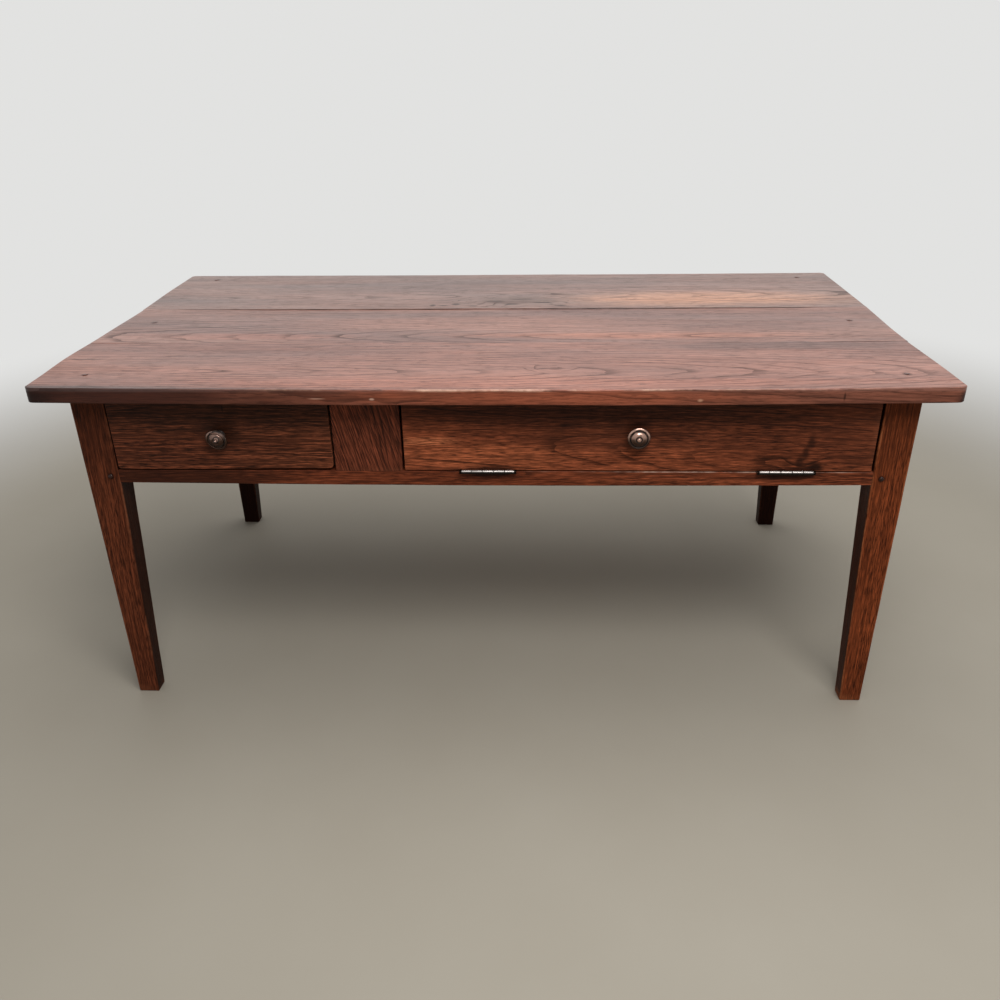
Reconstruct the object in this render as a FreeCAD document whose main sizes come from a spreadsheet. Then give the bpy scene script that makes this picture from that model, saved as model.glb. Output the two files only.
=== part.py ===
# A long oak table on four tapered legs. Its front has a drawer at the left, a broad fixed stile and, at the
# right, a flap that drops open on two butt hinges. Millimetres: the origin is on the floor under the middle
# of the top, +X points right as seen from the front, +Y to the back and +Z up.
import FreeCAD, Part

import os
from types import SimpleNamespace

import Sketcher
from FreeCAD import Placement, Rotation, Vector

doc = FreeCAD.newDocument("table_with_drawer")

# Driving dimensions
SIZES = {
    # the top: three boards joined by tongues and grooves
    "table_height": 740,
    "top_length": 1730,
    "top_width": 920,
    "top_thickness": 30,
    "front_board_width": 292,
    "middle_board_width": 276,
    "top_corner_radius": 14,
    "top_edge_round": 3,
    "tongue_thickness": 9,
    "tongue_length": 10,
    "side_overhang": 60,
    "front_overhang": 40,
    "rear_overhang": 34,
    # the legs, square to the top and tapered on their two inner faces below the frame
    "leg_width": 65,
    "leg_depth": 54,
    "foot_width": 44,
    "foot_depth": 34,
    "foot_chamfer": 2.5,
    # the rails and their joints
    "apron_height": 184,
    "rail_thickness": 24,
    "rail_setback": 4,
    "tenon_thickness": 10,
    "tenon_length": 28,
    "tenon_top_shoulder": 45,
    "front_rail_height": 27,
    "front_tenon_inset": 12,
    "front_tenon_thickness": 30,
    "front_tenon_shoulder": 4,
    "front_tenon_length": 34,
    "joint_fit": 0.1,
    "joint_end_room": 1,
    # the pegs that draw the joints together
    "peg_radius": 4.5,
    "peg_length": 42,
    "peg_proud": 1,
    "peg_fit": 0.05,
    "peg_end_distance": 28,
    "top_peg_radius": 5,
    "top_peg_depth": 35,
    "top_peg_side_inset": 24,
    "top_peg_front_inset": 36,
    "top_peg_rear_inset": 18,
    "top_peg_middle_offset": -15,
    # the front between the legs
    "panel_thickness": 22,
    "panel_edge_round": 1.2,
    "drawer_opening_width": 438,
    "stile_width": 132,
    "stile_tenon_thickness": 10,
    "stile_tenon_shoulder": 16,
    "stile_tenon_length": 18,
    # the partition behind the stile
    "partition_thickness": 22,
    "partition_housing": 6,
    # what the drawer runs on
    "runner_thickness": 22,
    "left_runner_width": 60,
    "right_runner_width": 40,
    "stub_tenon_length": 12,
    "stub_tenon_height": 12,
    "stub_tenon_shoulder": 4,
    "guide_height": 30,
    "kicker_thickness": 14,
    "kicker_gap": 0.7,
    "drawer_stop_length": 40,
    "drawer_stop_depth": 12,
    "drawer_stop_height": 7,
    "drawer_stop_spread": 110,
    # the drawer
    "drawer_length": 560,
    "drawer_side_gap": 2,
    "drawer_top_gap": 4,
    "drawer_front_lift": 1.5,
    "running_gap": 0.3,
    "drawer_side_thickness": 12,
    "tail_length": 14,
    "tail_tip_width": 28,
    "tail_base_width": 20,
    "drawer_back_thickness": 12,
    "drawer_back_inset": 10,
    "drawer_back_housing": 4,
    "drawer_back_drop": 6,
    "drawer_bottom_thickness": 7,
    "drawer_bottom_height": 12,
    "drawer_bottom_insert": 6,
    "nail_radius": 1.2,
    "nail_length": 20,
    "nail_head_radius": 2.8,
    "nail_head_height": 1,
    # the floor of the compartment behind the flap
    "floor_thickness": 14,
    "floor_gap": 0.5,
    "cleat_depth": 22,
    "wood_screw_radius": 2,
    "wood_screw_bite": 15,
    "wood_screw_head_radius": 4,
    "wood_screw_head_height": 2.4,
    "cleat_screw_end_distance": 90,
    # the flap, its hinges and its stops
    "flap_end_gap": 2.5,
    "flap_top_gap": 4,
    "flap_bottom_gap": 2.4,
    "flap_stop_length": 60,
    "flap_stop_depth": 18,
    "flap_stop_height": 20,
    "flap_stop_inset": 70,
    "hinge_length": 108,
    "hinge_inset": 165,
    "hinge_barrel_radius": 4.5,
    "hinge_pin_radius": 2.5,
    "hinge_pin_fit": 0.05,
    "hinge_pin_proud": 4.8,
    "hinge_pin_head_radius": 4.2,
    "hinge_pin_head_height": 1.6,
    "knuckle_gap": 0.3,
    "leaf_thickness": 2,
    "leaf_gap": 0.6,
    "leaf_reach": 24,
    "leaf_barrel_gap": 0.5,
    "leaf_screw_radius": 1.7,
    "leaf_screw_length": 16,
    "leaf_screw_head_radius": 3.4,
    "leaf_screw_head_height": 1.7,
    "leaf_screw_end_distance": 18,
    "leaf_screw_edge_distance": 8,
    # the two turned knobs
    "knob_base_radius": 9.5,
    "knob_base_height": 2.5,
    "knob_neck_radius": 7,
    "knob_neck_height": 8,
    "knob_rim_radius": 20.5,
    "knob_rim_low": 16,
    "knob_rim_high": 22,
    "knob_groove_radius": 15.8,
    "knob_groove_width": 2.4,
    "knob_groove_depth": 1.6,
    "knob_dome_height": 7,
    "knob_tip_radius": 3.6,
    "knob_tip_sink": 1,
    "knob_screw_radius": 2.4,
    "knob_screw_depth": 15,
    "knob_screw_head_radius": 4.8,
    "knob_screw_head_height": 2.6,
}

# Counts
TAIL_COUNT = 3
FLOOR_BOARD_COUNT = 5
KNUCKLE_COUNT = 5
LEAF_SCREW_COUNT = 3
CLEAT_SCREW_COUNT = 4
BOTTOM_NAIL_COUNT = 3

sheet = doc.addObject("Spreadsheet::Sheet", "sizes")
for row, (name, number) in enumerate(SIZES.items(), start=1):
    sheet.set(f"A{row}", name)
    sheet.set(f"B{row}", str(number))
    sheet.setAlias(f"B{row}", name)
doc.recompute()


class Size:
    """A length written in terms of the sheet's cells, with the arithmetic that makes other lengths from it."""

    def __init__(self, text):
        self.text = text

    def __str__(self):
        return self.text

    def __add__(self, other):
        return Size(f"({self} + {other})")

    def __radd__(self, other):
        return Size(f"({other} + {self})")

    def __sub__(self, other):
        return Size(f"({self} - {other})")

    def __rsub__(self, other):
        return Size(f"({other} - {self})")

    def __mul__(self, other):
        return Size(f"({self} * {other})")

    def __rmul__(self, other):
        return Size(f"({other} * {self})")

    def __truediv__(self, other):
        return Size(f"({self} / {other})")

    def __neg__(self):
        return Size(f"(-{self})")


size = SimpleNamespace(**{name: Size(f"sizes.{name}") for name in SIZES})
subparts = []

TURNS = {
    "+x": Rotation(Vector(0, 1, 0), 90),
    "-x": Rotation(Vector(0, 1, 0), -90),
    "+y": Rotation(Vector(1, 0, 0), -90),
    "-y": Rotation(Vector(1, 0, 0), 90),
    "+z": Rotation(),
    "-z": Rotation(Vector(1, 0, 0), 180),
}
UPRIGHT = "+z"

# Points nearer to each other than this are one place
SAME_PLACE = 0.01

# How a sketch counts the points of its lines, and where its own origin is
LINE_START, LINE_END, ARC_CENTRE = range(1, 4)
SKETCH_ORIGIN = (-1, LINE_START)


def value(length):
    """The present number of a length, in millimetres."""
    return float(sheet.evalExpression(str(length)))


def bind(thing, lengths):
    """Ties properties of an object to lengths of the sheet."""
    for name, length in lengths.items():
        thing.setExpression(name, str(length))


def place(thing, point, heading=UPRIGHT):
    """Puts an object's own origin at a point, with its own Z axis along a heading."""
    thing.Placement = Placement(Vector(), TURNS[heading])
    bind(thing, {f"Placement.Base.{axis}": length for axis, length in zip("xyz", point)})


def make_body(label, point, heading=UPRIGHT):
    """A sub-part of its own, whose features are given from its own origin at that point."""
    body = doc.addObject("PartDesign::Body", label)
    body.Label = label
    place(body, point, heading)
    subparts.append(body)
    return body


def sketch_on(body, role, offset=0):
    """An empty sketch on one of the body's origin planes, moved along the plane's normal."""
    sketch = body.newObject("Sketcher::SketchObject", f"{body.Name}_sketch")
    plane = next(feature for feature in body.Origin.OriginFeatures if feature.Role == role)
    sketch.AttachmentSupport = (plane, [""])
    sketch.MapMode = "FlatFace"
    bind(sketch, {"AttachmentOffset.Base.z": offset})
    return sketch


def arc_between(start, end, centre_x):
    """The arc from one point to another about a centre at that x, on the side away from the centre."""
    uneven = (start.x - centre_x) ** 2 - (end.x - centre_x) ** 2 + start.y**2 - end.y**2
    centre = Vector(centre_x, uneven / (2 * (start.y - end.y)), 0)
    outward = (start + end) / 2 - centre
    if outward.Length < SAME_PLACE:
        outward = Vector(1, 0, 0)
    return Part.Arc(start, centre + outward.normalize() * (start - centre).Length, end)


def draw_outline(sketch, corners):
    """A closed outline. Each corner is (x, y), or (x, y, centre_x) where an arc about a centre at that x goes
    on to the next corner."""
    points = [Vector(value(corner[0]), value(corner[1]), 0) for corner in corners]
    first = sketch.GeometryCount
    count = len(corners)
    for index, corner in enumerate(corners):
        start = points[index]
        end = points[(index + 1) % count]
        round_line = len(corner) == 3
        line = arc_between(start, end, value(corner[2])) if round_line else Part.LineSegment(start, end)
        sketch.addGeometry(line, False)
    # an arc always runs anticlockwise, so one that was drawn the other way starts at its far end
    starts = []
    ends = []
    for index in range(count):
        edge = sketch.Geometry[first + index]
        turned = edge.StartPoint.distanceToPoint(points[index]) > edge.EndPoint.distanceToPoint(points[index])
        starts.append(LINE_END if turned else LINE_START)
        ends.append(LINE_START if turned else LINE_END)
    for index, corner in enumerate(corners):
        after = (index + 1) % count
        line = first + index
        sketch.addConstraint(
            Sketcher.Constraint("Coincident", line, ends[index], first + after, starts[after])
        )
        distances = [
            ("DistanceX", starts[index], corner[0]),
            ("DistanceY", starts[index], corner[1]),
        ]
        if len(corner) == 3:
            distances.append(("DistanceX", ARC_CENTRE, corner[2]))
        for kind, point, length in distances:
            held = Sketcher.Constraint(kind, *SKETCH_ORIGIN, line, point, value(length))
            bind(sketch, {f"Constraints[{sketch.addConstraint(held)}]": length})


def rectangle(low_x, low_y, high_x, high_y):
    return [(low_x, low_y), (high_x, low_y), (high_x, high_y), (low_x, high_y)]


def pad(body, sketch, length):
    """Material from a sketch along its normal."""
    feature = body.newObject("PartDesign::Pad", f"{body.Name}_pad")
    feature.Profile = sketch
    bind(feature, {"Length": length})


def pocket(body, sketch, length):
    """A cut from a sketch along its normal."""
    feature = body.newObject("PartDesign::Pocket", f"{body.Name}_pocket")
    feature.Profile = sketch
    feature.Reversed = True
    bind(feature, {"Length": length})


def block(body, kind, low, high):
    """Adds a block between two corners, or takes it away: kind is Additive or Subtractive."""
    feature = body.newObject(f"PartDesign::{kind}Box", f"{body.Name}_block")
    place(feature, low)
    spans = {name: top - bottom for name, bottom, top in zip(("Length", "Width", "Height"), low, high)}
    bind(feature, spans)


def round_bar(body, kind, point, heading, radius, length):
    """Adds a round bar that starts at a point, or takes it away: kind is Additive or Subtractive."""
    feature = body.newObject(f"PartDesign::{kind}Cylinder", f"{body.Name}_bar")
    place(feature, point, heading)
    bind(feature, {"Radius": radius, "Height": length})


def bore(body, point, heading, radius, length):
    """A round hole that starts at a point."""
    round_bar(body, "Subtractive", point, heading, radius, length)


def round_edges(body, radius, wanted):
    """Rounds those edges of the body that a test picks."""
    doc.recompute()
    base = body.Tip
    names = [f"Edge{number}" for number, edge in enumerate(base.Shape.Edges, start=1) if wanted(edge)]
    feature = body.newObject("PartDesign::Fillet", f"{body.Name}_edges")
    feature.Base = (base, names)
    bind(feature, {"Radius": radius})


def lies_at(edge, axis, length):
    """True if the whole edge lies at that place along an axis."""
    return all(abs(getattr(vertex.Point, axis) - value(length)) < SAME_PLACE for vertex in edge.Vertexes)


def loose_block(low, high):
    """A block between two corners that is a solid of its own, to go into a group."""
    whole = doc.addObject("Part::Box", "block")
    place(whole, low)
    spans = {name: top - bottom for name, bottom, top in zip(("Length", "Width", "Height"), low, high)}
    bind(whole, spans)
    return whole


def loose_bar(point, heading, radius, length):
    """A round bar that is a solid of its own, to go into a group."""
    bar = doc.addObject("Part::Cylinder", "bar")
    place(bar, point, heading)
    bind(bar, {"Radius": radius, "Height": length})
    return bar


def moved(point, heading, length):
    """A point that has gone along a heading."""
    sign = 1 if heading[0] == "+" else -1
    shift = {heading[1]: sign * length}
    return [along + shift.get(axis, 0) for axis, along in zip("xyz", point)]


def headed(point, heading, radius, length, head_radius, head_height):
    """A screw or nail with a flat round head. The point is under the head, and the shank goes along the heading."""
    head = loose_bar(moved(point, heading, -head_height), heading, head_radius, head_height)
    shank = loose_bar(point, heading, radius, length)
    whole = doc.addObject("Part::Fuse", "headed")
    whole.Base = head
    whole.Tool = shank
    return whole


def countersunk(point, heading):
    """A hinge screw whose head tapers from the leaf's face at that point into the shank."""
    head = doc.addObject("Part::Cone", "head")
    place(head, point, heading)
    bind(
        head,
        {
            "Radius1": size.leaf_screw_head_radius,
            "Radius2": size.leaf_screw_radius,
            "Height": size.leaf_screw_head_height,
        },
    )
    shank = loose_bar(point, heading, size.leaf_screw_radius, size.leaf_screw_length)
    whole = doc.addObject("Part::Fuse", "countersunk")
    whole.Base = head
    whole.Tool = shank
    return whole


def group(label, pieces):
    """Like pieces that share one node as separate solids."""
    compound = doc.addObject("Part::Compound", label)
    compound.Label = label
    compound.Links = pieces
    subparts.append(compound)


def inward(sign, near, far):
    """The low and the high end of a span that runs inward from the origin, along + or - as the sign says."""
    return (near, far) if sign > 0 else (-far, -near)


def heading_of(sign, axis):
    return ("+" if sign > 0 else "-") + axis


# Places that several pieces share
half_length = size.top_length / 2
top_under_z = size.table_height - size.top_thickness
apron_low_z = top_under_z - size.apron_height
front_rail_top_z = apron_low_z + size.front_rail_height
leg_outer_x = half_length - size.side_overhang
leg_inner_x = leg_outer_x - size.leg_width
front_y = size.front_overhang - size.top_width / 2
rear_y = size.top_width / 2 - size.rear_overhang
front_leg_back_y = front_y + size.leg_depth
rear_leg_front_y = rear_y - size.leg_depth
side_rail_inner_x = leg_outer_x - size.rail_setback - size.rail_thickness
rear_rail_inner_y = rear_y - size.rail_setback - size.rail_thickness
panel_back_y = front_y + size.panel_thickness
stile_left_x = size.drawer_opening_width - leg_inner_x
stile_right_x = stile_left_x + size.stile_width
partition_right_x = stile_left_x + size.partition_thickness
peg_bore = size.peg_radius + size.peg_fit
top_peg_bore = size.top_peg_radius + size.peg_fit
tenon_low_z = front_rail_top_z
tenon_high_z = top_under_z - size.tenon_top_shoulder
rail_peg_heights = (tenon_low_z + size.peg_end_distance, tenon_high_z - size.peg_end_distance)
front_peg_z = apron_low_z + size.front_rail_height / 2
mortise_depth = size.tenon_length + size.joint_end_room
front_mortise_depth = size.front_tenon_length + size.joint_end_room
rail_tenon_near = size.rail_setback + (size.rail_thickness - size.tenon_thickness) / 2
rail_tenon_far = rail_tenon_near + size.tenon_thickness
stub_low_z = front_rail_top_z - (size.runner_thickness + size.stub_tenon_height) / 2
stub_high_z = stub_low_z + size.stub_tenon_height
stub_depth = size.stub_tenon_length + size.joint_end_room
runner_low_z = front_rail_top_z - size.runner_thickness
SIDES = (("left", -1), ("right", 1))

# Top pegs: one into each leg, and one at each end of the middle board into a side rail
front_top_peg_y = front_y + size.top_peg_front_inset
rear_top_peg_y = rear_y - size.top_peg_rear_inset
leg_top_peg_x = leg_outer_x - size.top_peg_side_inset
rail_top_peg_x = leg_outer_x - size.rail_setback - size.rail_thickness / 2
top_peg_places = {
    "front": [(side * leg_top_peg_x, front_top_peg_y) for _, side in SIDES],
    "middle": [(side * rail_top_peg_x, size.top_peg_middle_offset) for _, side in SIDES],
    "rear": [(side * leg_top_peg_x, rear_top_peg_y) for _, side in SIDES],
}


def make_top_board(name, board_front_y, width, tongue, groove):
    """A board of the top, with a tongue at its front edge, a groove at its rear edge, or both. An edge that
    has neither is an outer one: its corners are rounded, and so are its arrises and those of the ends."""
    body = make_body(f"top_{name}_board", (-half_length, board_front_y, top_under_z))
    sketch = sketch_on(body, "XY_Plane")
    draw_outline(sketch, rectangle(0, 0, size.top_length, width))
    pad(body, sketch, size.top_thickness)
    seams = [y for y, joined in ((0, tongue), (width, groove)) if joined]
    outer = [y for y, joined in ((0, tongue), (width, groove)) if not joined]
    if outer:
        def corner(edge):
            upright = edge.BoundBox.ZLength > value(size.top_thickness) / 2
            return upright and any(lies_at(edge, "y", y) for y in outer)
        round_edges(body, size.top_corner_radius, corner)

    def arris(edge):
        level = lies_at(edge, "z", 0) or lies_at(edge, "z", size.top_thickness)
        return level and not any(lies_at(edge, "y", y) for y in seams)
    round_edges(body, size.top_edge_round, arris)
    tongue_low = (size.top_thickness - size.tongue_thickness) / 2
    tongue_high = tongue_low + size.tongue_thickness
    if tongue:
        block(
            body, "Additive",
            (size.top_edge_round, -size.tongue_length, tongue_low),
            (size.top_length - size.top_edge_round, 0, tongue_high),
        )
    if groove:
        block(
            body, "Subtractive",
            (0, width - size.tongue_length - size.joint_end_room, tongue_low - size.joint_fit),
            (size.top_length, width, tongue_high + size.joint_fit),
        )
    for x, y in top_peg_places[name]:
        bore(body, (x + half_length, y - board_front_y, 0), UPRIGHT, top_peg_bore, size.top_thickness)
    return body


top_front_y = -size.top_width / 2
middle_front_y = top_front_y + size.front_board_width
rear_front_y = middle_front_y + size.middle_board_width
top_front_board = make_top_board("front", top_front_y, size.front_board_width, tongue=False, groove=True)
make_top_board("middle", middle_front_y, size.middle_board_width, tongue=True, groove=True)
make_top_board("rear", rear_front_y, size.top_width / 2 - rear_front_y, tongue=True, groove=False)
top_peg_low_z = top_under_z - size.top_peg_depth
top_peg_length = size.top_thickness + size.top_peg_depth
group(
    "top_pegs",
    [
        loose_bar((x, y, top_peg_low_z), UPRIGHT, size.top_peg_radius, top_peg_length)
        for places in top_peg_places.values()
        for x, y in places
    ],
)


def make_leg(name, side, end):
    """A leg. Side is -1 at the left and 1 at the right, end is -1 at the front and 1 at the rear. Its origin
    is at the foot's outer corner, and the lengths here run inward from it."""
    outer_y = front_y if end < 0 else rear_y
    body = make_body(name, (side * leg_outer_x, outer_y, 0))
    x_in = -side
    y_in = -end

    def section(level, inset, width, depth):
        sketch = sketch_on(body, "XY_Plane", level)
        near_x, far_x = x_in * inset, x_in * (width - inset)
        near_y, far_y = y_in * inset, y_in * (depth - inset)
        draw_outline(sketch, rectangle(near_x, near_y, far_x, far_y))
        return sketch

    # the taper ends in a foot whose edges are chamfered against splitting
    taper = body.newObject("PartDesign::AdditiveLoft", f"{name}_taper")
    taper.Profile = section(0, size.foot_chamfer, size.foot_width, size.foot_depth)
    taper.Sections = [
        section(size.foot_chamfer, 0, size.foot_width, size.foot_depth),
        section(apron_low_z, 0, size.leg_width, size.leg_depth),
    ]
    taper.Ruled = True
    pad(body, section(apron_low_z, 0, size.leg_width, size.leg_depth), size.apron_height)

    def mortise(near_x, far_x, near_y, far_y, low_z, high_z):
        low_x, high_x = inward(x_in, near_x, far_x)
        low_y, high_y = inward(y_in, near_y, far_y)
        block(body, "Subtractive", (low_x, low_y, low_z), (high_x, high_y, high_z))

    # the side rail's mortise in the leg's inner end face, with its two pegs through the outer side
    mortise(
        rail_tenon_near - size.joint_fit, rail_tenon_far + size.joint_fit,
        size.leg_depth - mortise_depth, size.leg_depth,
        tenon_low_z - size.joint_fit, tenon_high_z + size.joint_fit,
    )
    peg_y = y_in * (size.leg_depth - size.tenon_length / 2)
    for peg_z in rail_peg_heights:
        bore(body, (0, peg_y, peg_z), heading_of(x_in, "x"), peg_bore, size.peg_length)
    if end < 0:
        # the front rail's mortise, with its peg through the front
        mortise(
            size.leg_width - front_mortise_depth, size.leg_width,
            size.front_tenon_inset - size.joint_fit,
            size.front_tenon_inset + size.front_tenon_thickness + size.joint_fit,
            apron_low_z + size.front_tenon_shoulder - size.joint_fit,
            front_rail_top_z - size.front_tenon_shoulder + size.joint_fit,
        )
        peg_x = x_in * (size.leg_width - size.front_tenon_length / 2)
        bore(body, (peg_x, 0, front_peg_z), "+y", peg_bore, size.peg_length)
    else:
        mortise(
            size.leg_width - mortise_depth, size.leg_width,
            rail_tenon_near - size.joint_fit, rail_tenon_far + size.joint_fit,
            tenon_low_z - size.joint_fit, tenon_high_z + size.joint_fit,
        )
        peg_x = x_in * (size.leg_width - size.tenon_length / 2)
        for peg_z in rail_peg_heights:
            bore(body, (peg_x, 0, peg_z), "-y", peg_bore, size.peg_length)
    if end > 0 and side < 0:
        # the left drawer runner's stub tenon
        mortise(
            size.rail_setback + size.rail_thickness + size.stub_tenon_shoulder - size.joint_fit,
            size.leg_width - size.stub_tenon_shoulder + size.joint_fit,
            size.leg_depth - stub_depth, size.leg_depth,
            stub_low_z - size.joint_fit, stub_high_z + size.joint_fit,
        )
    top_peg_inset = size.top_peg_front_inset if end < 0 else size.top_peg_rear_inset
    peg_point = (x_in * size.top_peg_side_inset, y_in * top_peg_inset, top_under_z - size.top_peg_depth)
    bore(body, peg_point, UPRIGHT, top_peg_bore, size.top_peg_depth)


for side_name, side in SIDES:
    make_leg(f"front_{side_name}_leg", side, -1)
    make_leg(f"rear_{side_name}_leg", side, 1)

# Hinge places, which the rail and the flap share
flap_left_x = stile_right_x + size.flap_end_gap
flap_right_x = leg_inner_x - size.flap_end_gap
flap_low_z = front_rail_top_z + size.flap_bottom_gap
flap_high_z = top_under_z - size.flap_top_gap
hinge_centres = {"left": flap_left_x + size.hinge_inset, "right": flap_right_x - size.hinge_inset}
hinge_pin_y = front_y - size.hinge_pin_proud
hinge_pin_z = front_rail_top_z + size.flap_bottom_gap / 2
leaf_recess = size.leaf_thickness + size.leaf_gap / 2 - size.flap_bottom_gap / 2
leaf_edge_y = hinge_pin_y + size.leaf_reach
leaf_screw_y = leaf_edge_y - size.leaf_screw_edge_distance
leaf_screw_bore = size.leaf_screw_radius + size.peg_fit
leaf_screw_pitch = (size.hinge_length - 2 * size.leaf_screw_end_distance) / (LEAF_SCREW_COUNT - 1)


def leaf_screw_offsets():
    """Where a leaf's screws are, from the start of the leaf."""
    return [size.leaf_screw_end_distance + index * leaf_screw_pitch for index in range(LEAF_SCREW_COUNT)]


# Front rail: it lies flat under the drawer and the flap, and holds the stile, both runners and the hinges
front_rail_length = 2 * leg_inner_x
front_rail = make_body("front_rail", (-leg_inner_x, front_y, apron_low_z))
front_rail_sketch = sketch_on(front_rail, "XY_Plane")
draw_outline(front_rail_sketch, rectangle(0, 0, front_rail_length, size.leg_depth))
pad(front_rail, front_rail_sketch, size.front_rail_height)
block(
    front_rail, "Additive",
    (-size.front_tenon_length, size.front_tenon_inset, size.front_tenon_shoulder),
    (
        front_rail_length + size.front_tenon_length,
        size.front_tenon_inset + size.front_tenon_thickness,
        size.front_rail_height - size.front_tenon_shoulder,
    ),
)
for peg_x in (-size.front_tenon_length / 2, front_rail_length + size.front_tenon_length / 2):
    bore(front_rail, (peg_x, 0, size.front_rail_height / 2), "+y", peg_bore, size.leg_depth)
stile_tenon_near = (size.panel_thickness - size.stile_tenon_thickness) / 2
block(
    front_rail, "Subtractive",
    (
        stile_left_x + leg_inner_x + size.stile_tenon_shoulder - size.joint_fit,
        stile_tenon_near - size.joint_fit,
        size.front_rail_height - size.stile_tenon_length - size.joint_end_room,
    ),
    (
        stile_right_x + leg_inner_x - size.stile_tenon_shoulder + size.joint_fit,
        stile_tenon_near + size.stile_tenon_thickness + size.joint_fit,
        size.front_rail_height,
    ),
)
left_stub_span = (
    size.stub_tenon_shoulder - leg_inner_x,
    size.left_runner_width - side_rail_inner_x - size.stub_tenon_shoulder,
)
right_stub_span = (
    stile_left_x - size.right_runner_width + size.stub_tenon_shoulder,
    stile_left_x - size.stub_tenon_shoulder,
)
for low_x, high_x in (left_stub_span, right_stub_span):
    block(
        front_rail, "Subtractive",
        (low_x + leg_inner_x - size.joint_fit, size.leg_depth - stub_depth,
         stub_low_z - apron_low_z - size.joint_fit),
        (high_x + leg_inner_x + size.joint_fit, size.leg_depth,
         stub_high_z - apron_low_z + size.joint_fit),
    )
for centre in hinge_centres.values():
    leaf_start = centre - size.hinge_length / 2 + leg_inner_x
    block(
        front_rail, "Subtractive",
        (leaf_start - size.joint_fit, 0, size.front_rail_height - leaf_recess),
        (leaf_start + size.hinge_length + size.joint_fit, leaf_edge_y - front_y + size.joint_fit,
         size.front_rail_height),
    )
    for offset in leaf_screw_offsets():
        bore(
            front_rail, (leaf_start + offset, leaf_screw_y - front_y, size.front_rail_height), "-z",
            leaf_screw_bore, size.leaf_screw_length,
        )

# Rear rail and side rails: full height, tenoned and pegged into the legs
rear_rail_length = 2 * leg_inner_x
rear_rail = make_body("rear_rail", (-leg_inner_x, rear_rail_inner_y, apron_low_z))
rear_rail_sketch = sketch_on(rear_rail, "XY_Plane")
draw_outline(rear_rail_sketch, rectangle(0, 0, rear_rail_length, size.rail_thickness))
pad(rear_rail, rear_rail_sketch, size.apron_height)
tenon_start = (size.rail_thickness - size.tenon_thickness) / 2
block(
    rear_rail, "Additive",
    (-size.tenon_length, tenon_start, tenon_low_z - apron_low_z),
    (rear_rail_length + size.tenon_length, tenon_start + size.tenon_thickness, tenon_high_z - apron_low_z),
)
for peg_x in (-size.tenon_length / 2, rear_rail_length + size.tenon_length / 2):
    for peg_z in rail_peg_heights:
        bore(rear_rail, (peg_x, 0, peg_z - apron_low_z), "+y", peg_bore, size.rail_thickness)
# the partition's housing and the right runner's stub mortise
block(
    rear_rail, "Subtractive",
    (stile_left_x + leg_inner_x - size.joint_fit, 0, runner_low_z - apron_low_z - size.joint_fit),
    (partition_right_x + leg_inner_x + size.joint_fit, size.partition_housing + size.joint_fit,
     size.apron_height),
)
block(
    rear_rail, "Subtractive",
    (right_stub_span[0] + leg_inner_x - size.joint_fit, 0, stub_low_z - apron_low_z - size.joint_fit),
    (right_stub_span[1] + leg_inner_x + size.joint_fit, stub_depth,
     stub_high_z - apron_low_z + size.joint_fit),
)

side_rail_length = rear_leg_front_y - front_leg_back_y
for side_name, side in SIDES:
    low_x, high_x = inward(side, side_rail_inner_x, side_rail_inner_x + size.rail_thickness)
    side_rail = make_body(f"{side_name}_side_rail", (low_x, front_leg_back_y, apron_low_z))
    side_rail_sketch = sketch_on(side_rail, "XY_Plane")
    draw_outline(side_rail_sketch, rectangle(0, 0, size.rail_thickness, side_rail_length))
    pad(side_rail, side_rail_sketch, size.apron_height)
    block(
        side_rail, "Additive",
        (tenon_start, -size.tenon_length, tenon_low_z - apron_low_z),
        (tenon_start + size.tenon_thickness, side_rail_length + size.tenon_length,
         tenon_high_z - apron_low_z),
    )
    for peg_y in (-size.tenon_length / 2, side_rail_length + size.tenon_length / 2):
        for peg_z in rail_peg_heights:
            bore(side_rail, (0, peg_y, peg_z - apron_low_z), "+x", peg_bore, size.rail_thickness)
    top_peg_y = size.top_peg_middle_offset - front_leg_back_y
    bore(
        side_rail, (size.rail_thickness / 2, top_peg_y, size.apron_height - size.top_peg_depth), UPRIGHT,
        top_peg_bore, size.top_peg_depth,
    )

# Frame pegs: those at the front stand a little proud, as worn pegs do
front_peg_x = leg_inner_x + size.front_tenon_length / 2
group(
    "front_rail_pegs",
    [
        loose_bar((side * front_peg_x, front_y - size.peg_proud, front_peg_z), "+y",
                  size.peg_radius, size.peg_length)
        for _, side in SIDES
    ],
)
rear_peg_x = leg_inner_x + size.tenon_length / 2
group(
    "rear_rail_pegs",
    [
        loose_bar((side * rear_peg_x, rear_y, peg_z), "-y", size.peg_radius, size.peg_length)
        for _, side in SIDES
        for peg_z in rail_peg_heights
    ],
)
side_peg_places = (
    front_leg_back_y - size.tenon_length / 2,
    rear_leg_front_y + size.tenon_length / 2,
)
for side_name, side in SIDES:
    group(
        f"{side_name}_rail_pegs",
        [
            loose_bar((side * leg_outer_x, peg_y, peg_z), heading_of(-side, "x"),
                      size.peg_radius, size.peg_length)
            for peg_y in side_peg_places
            for peg_z in rail_peg_heights
        ],
    )

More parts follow.
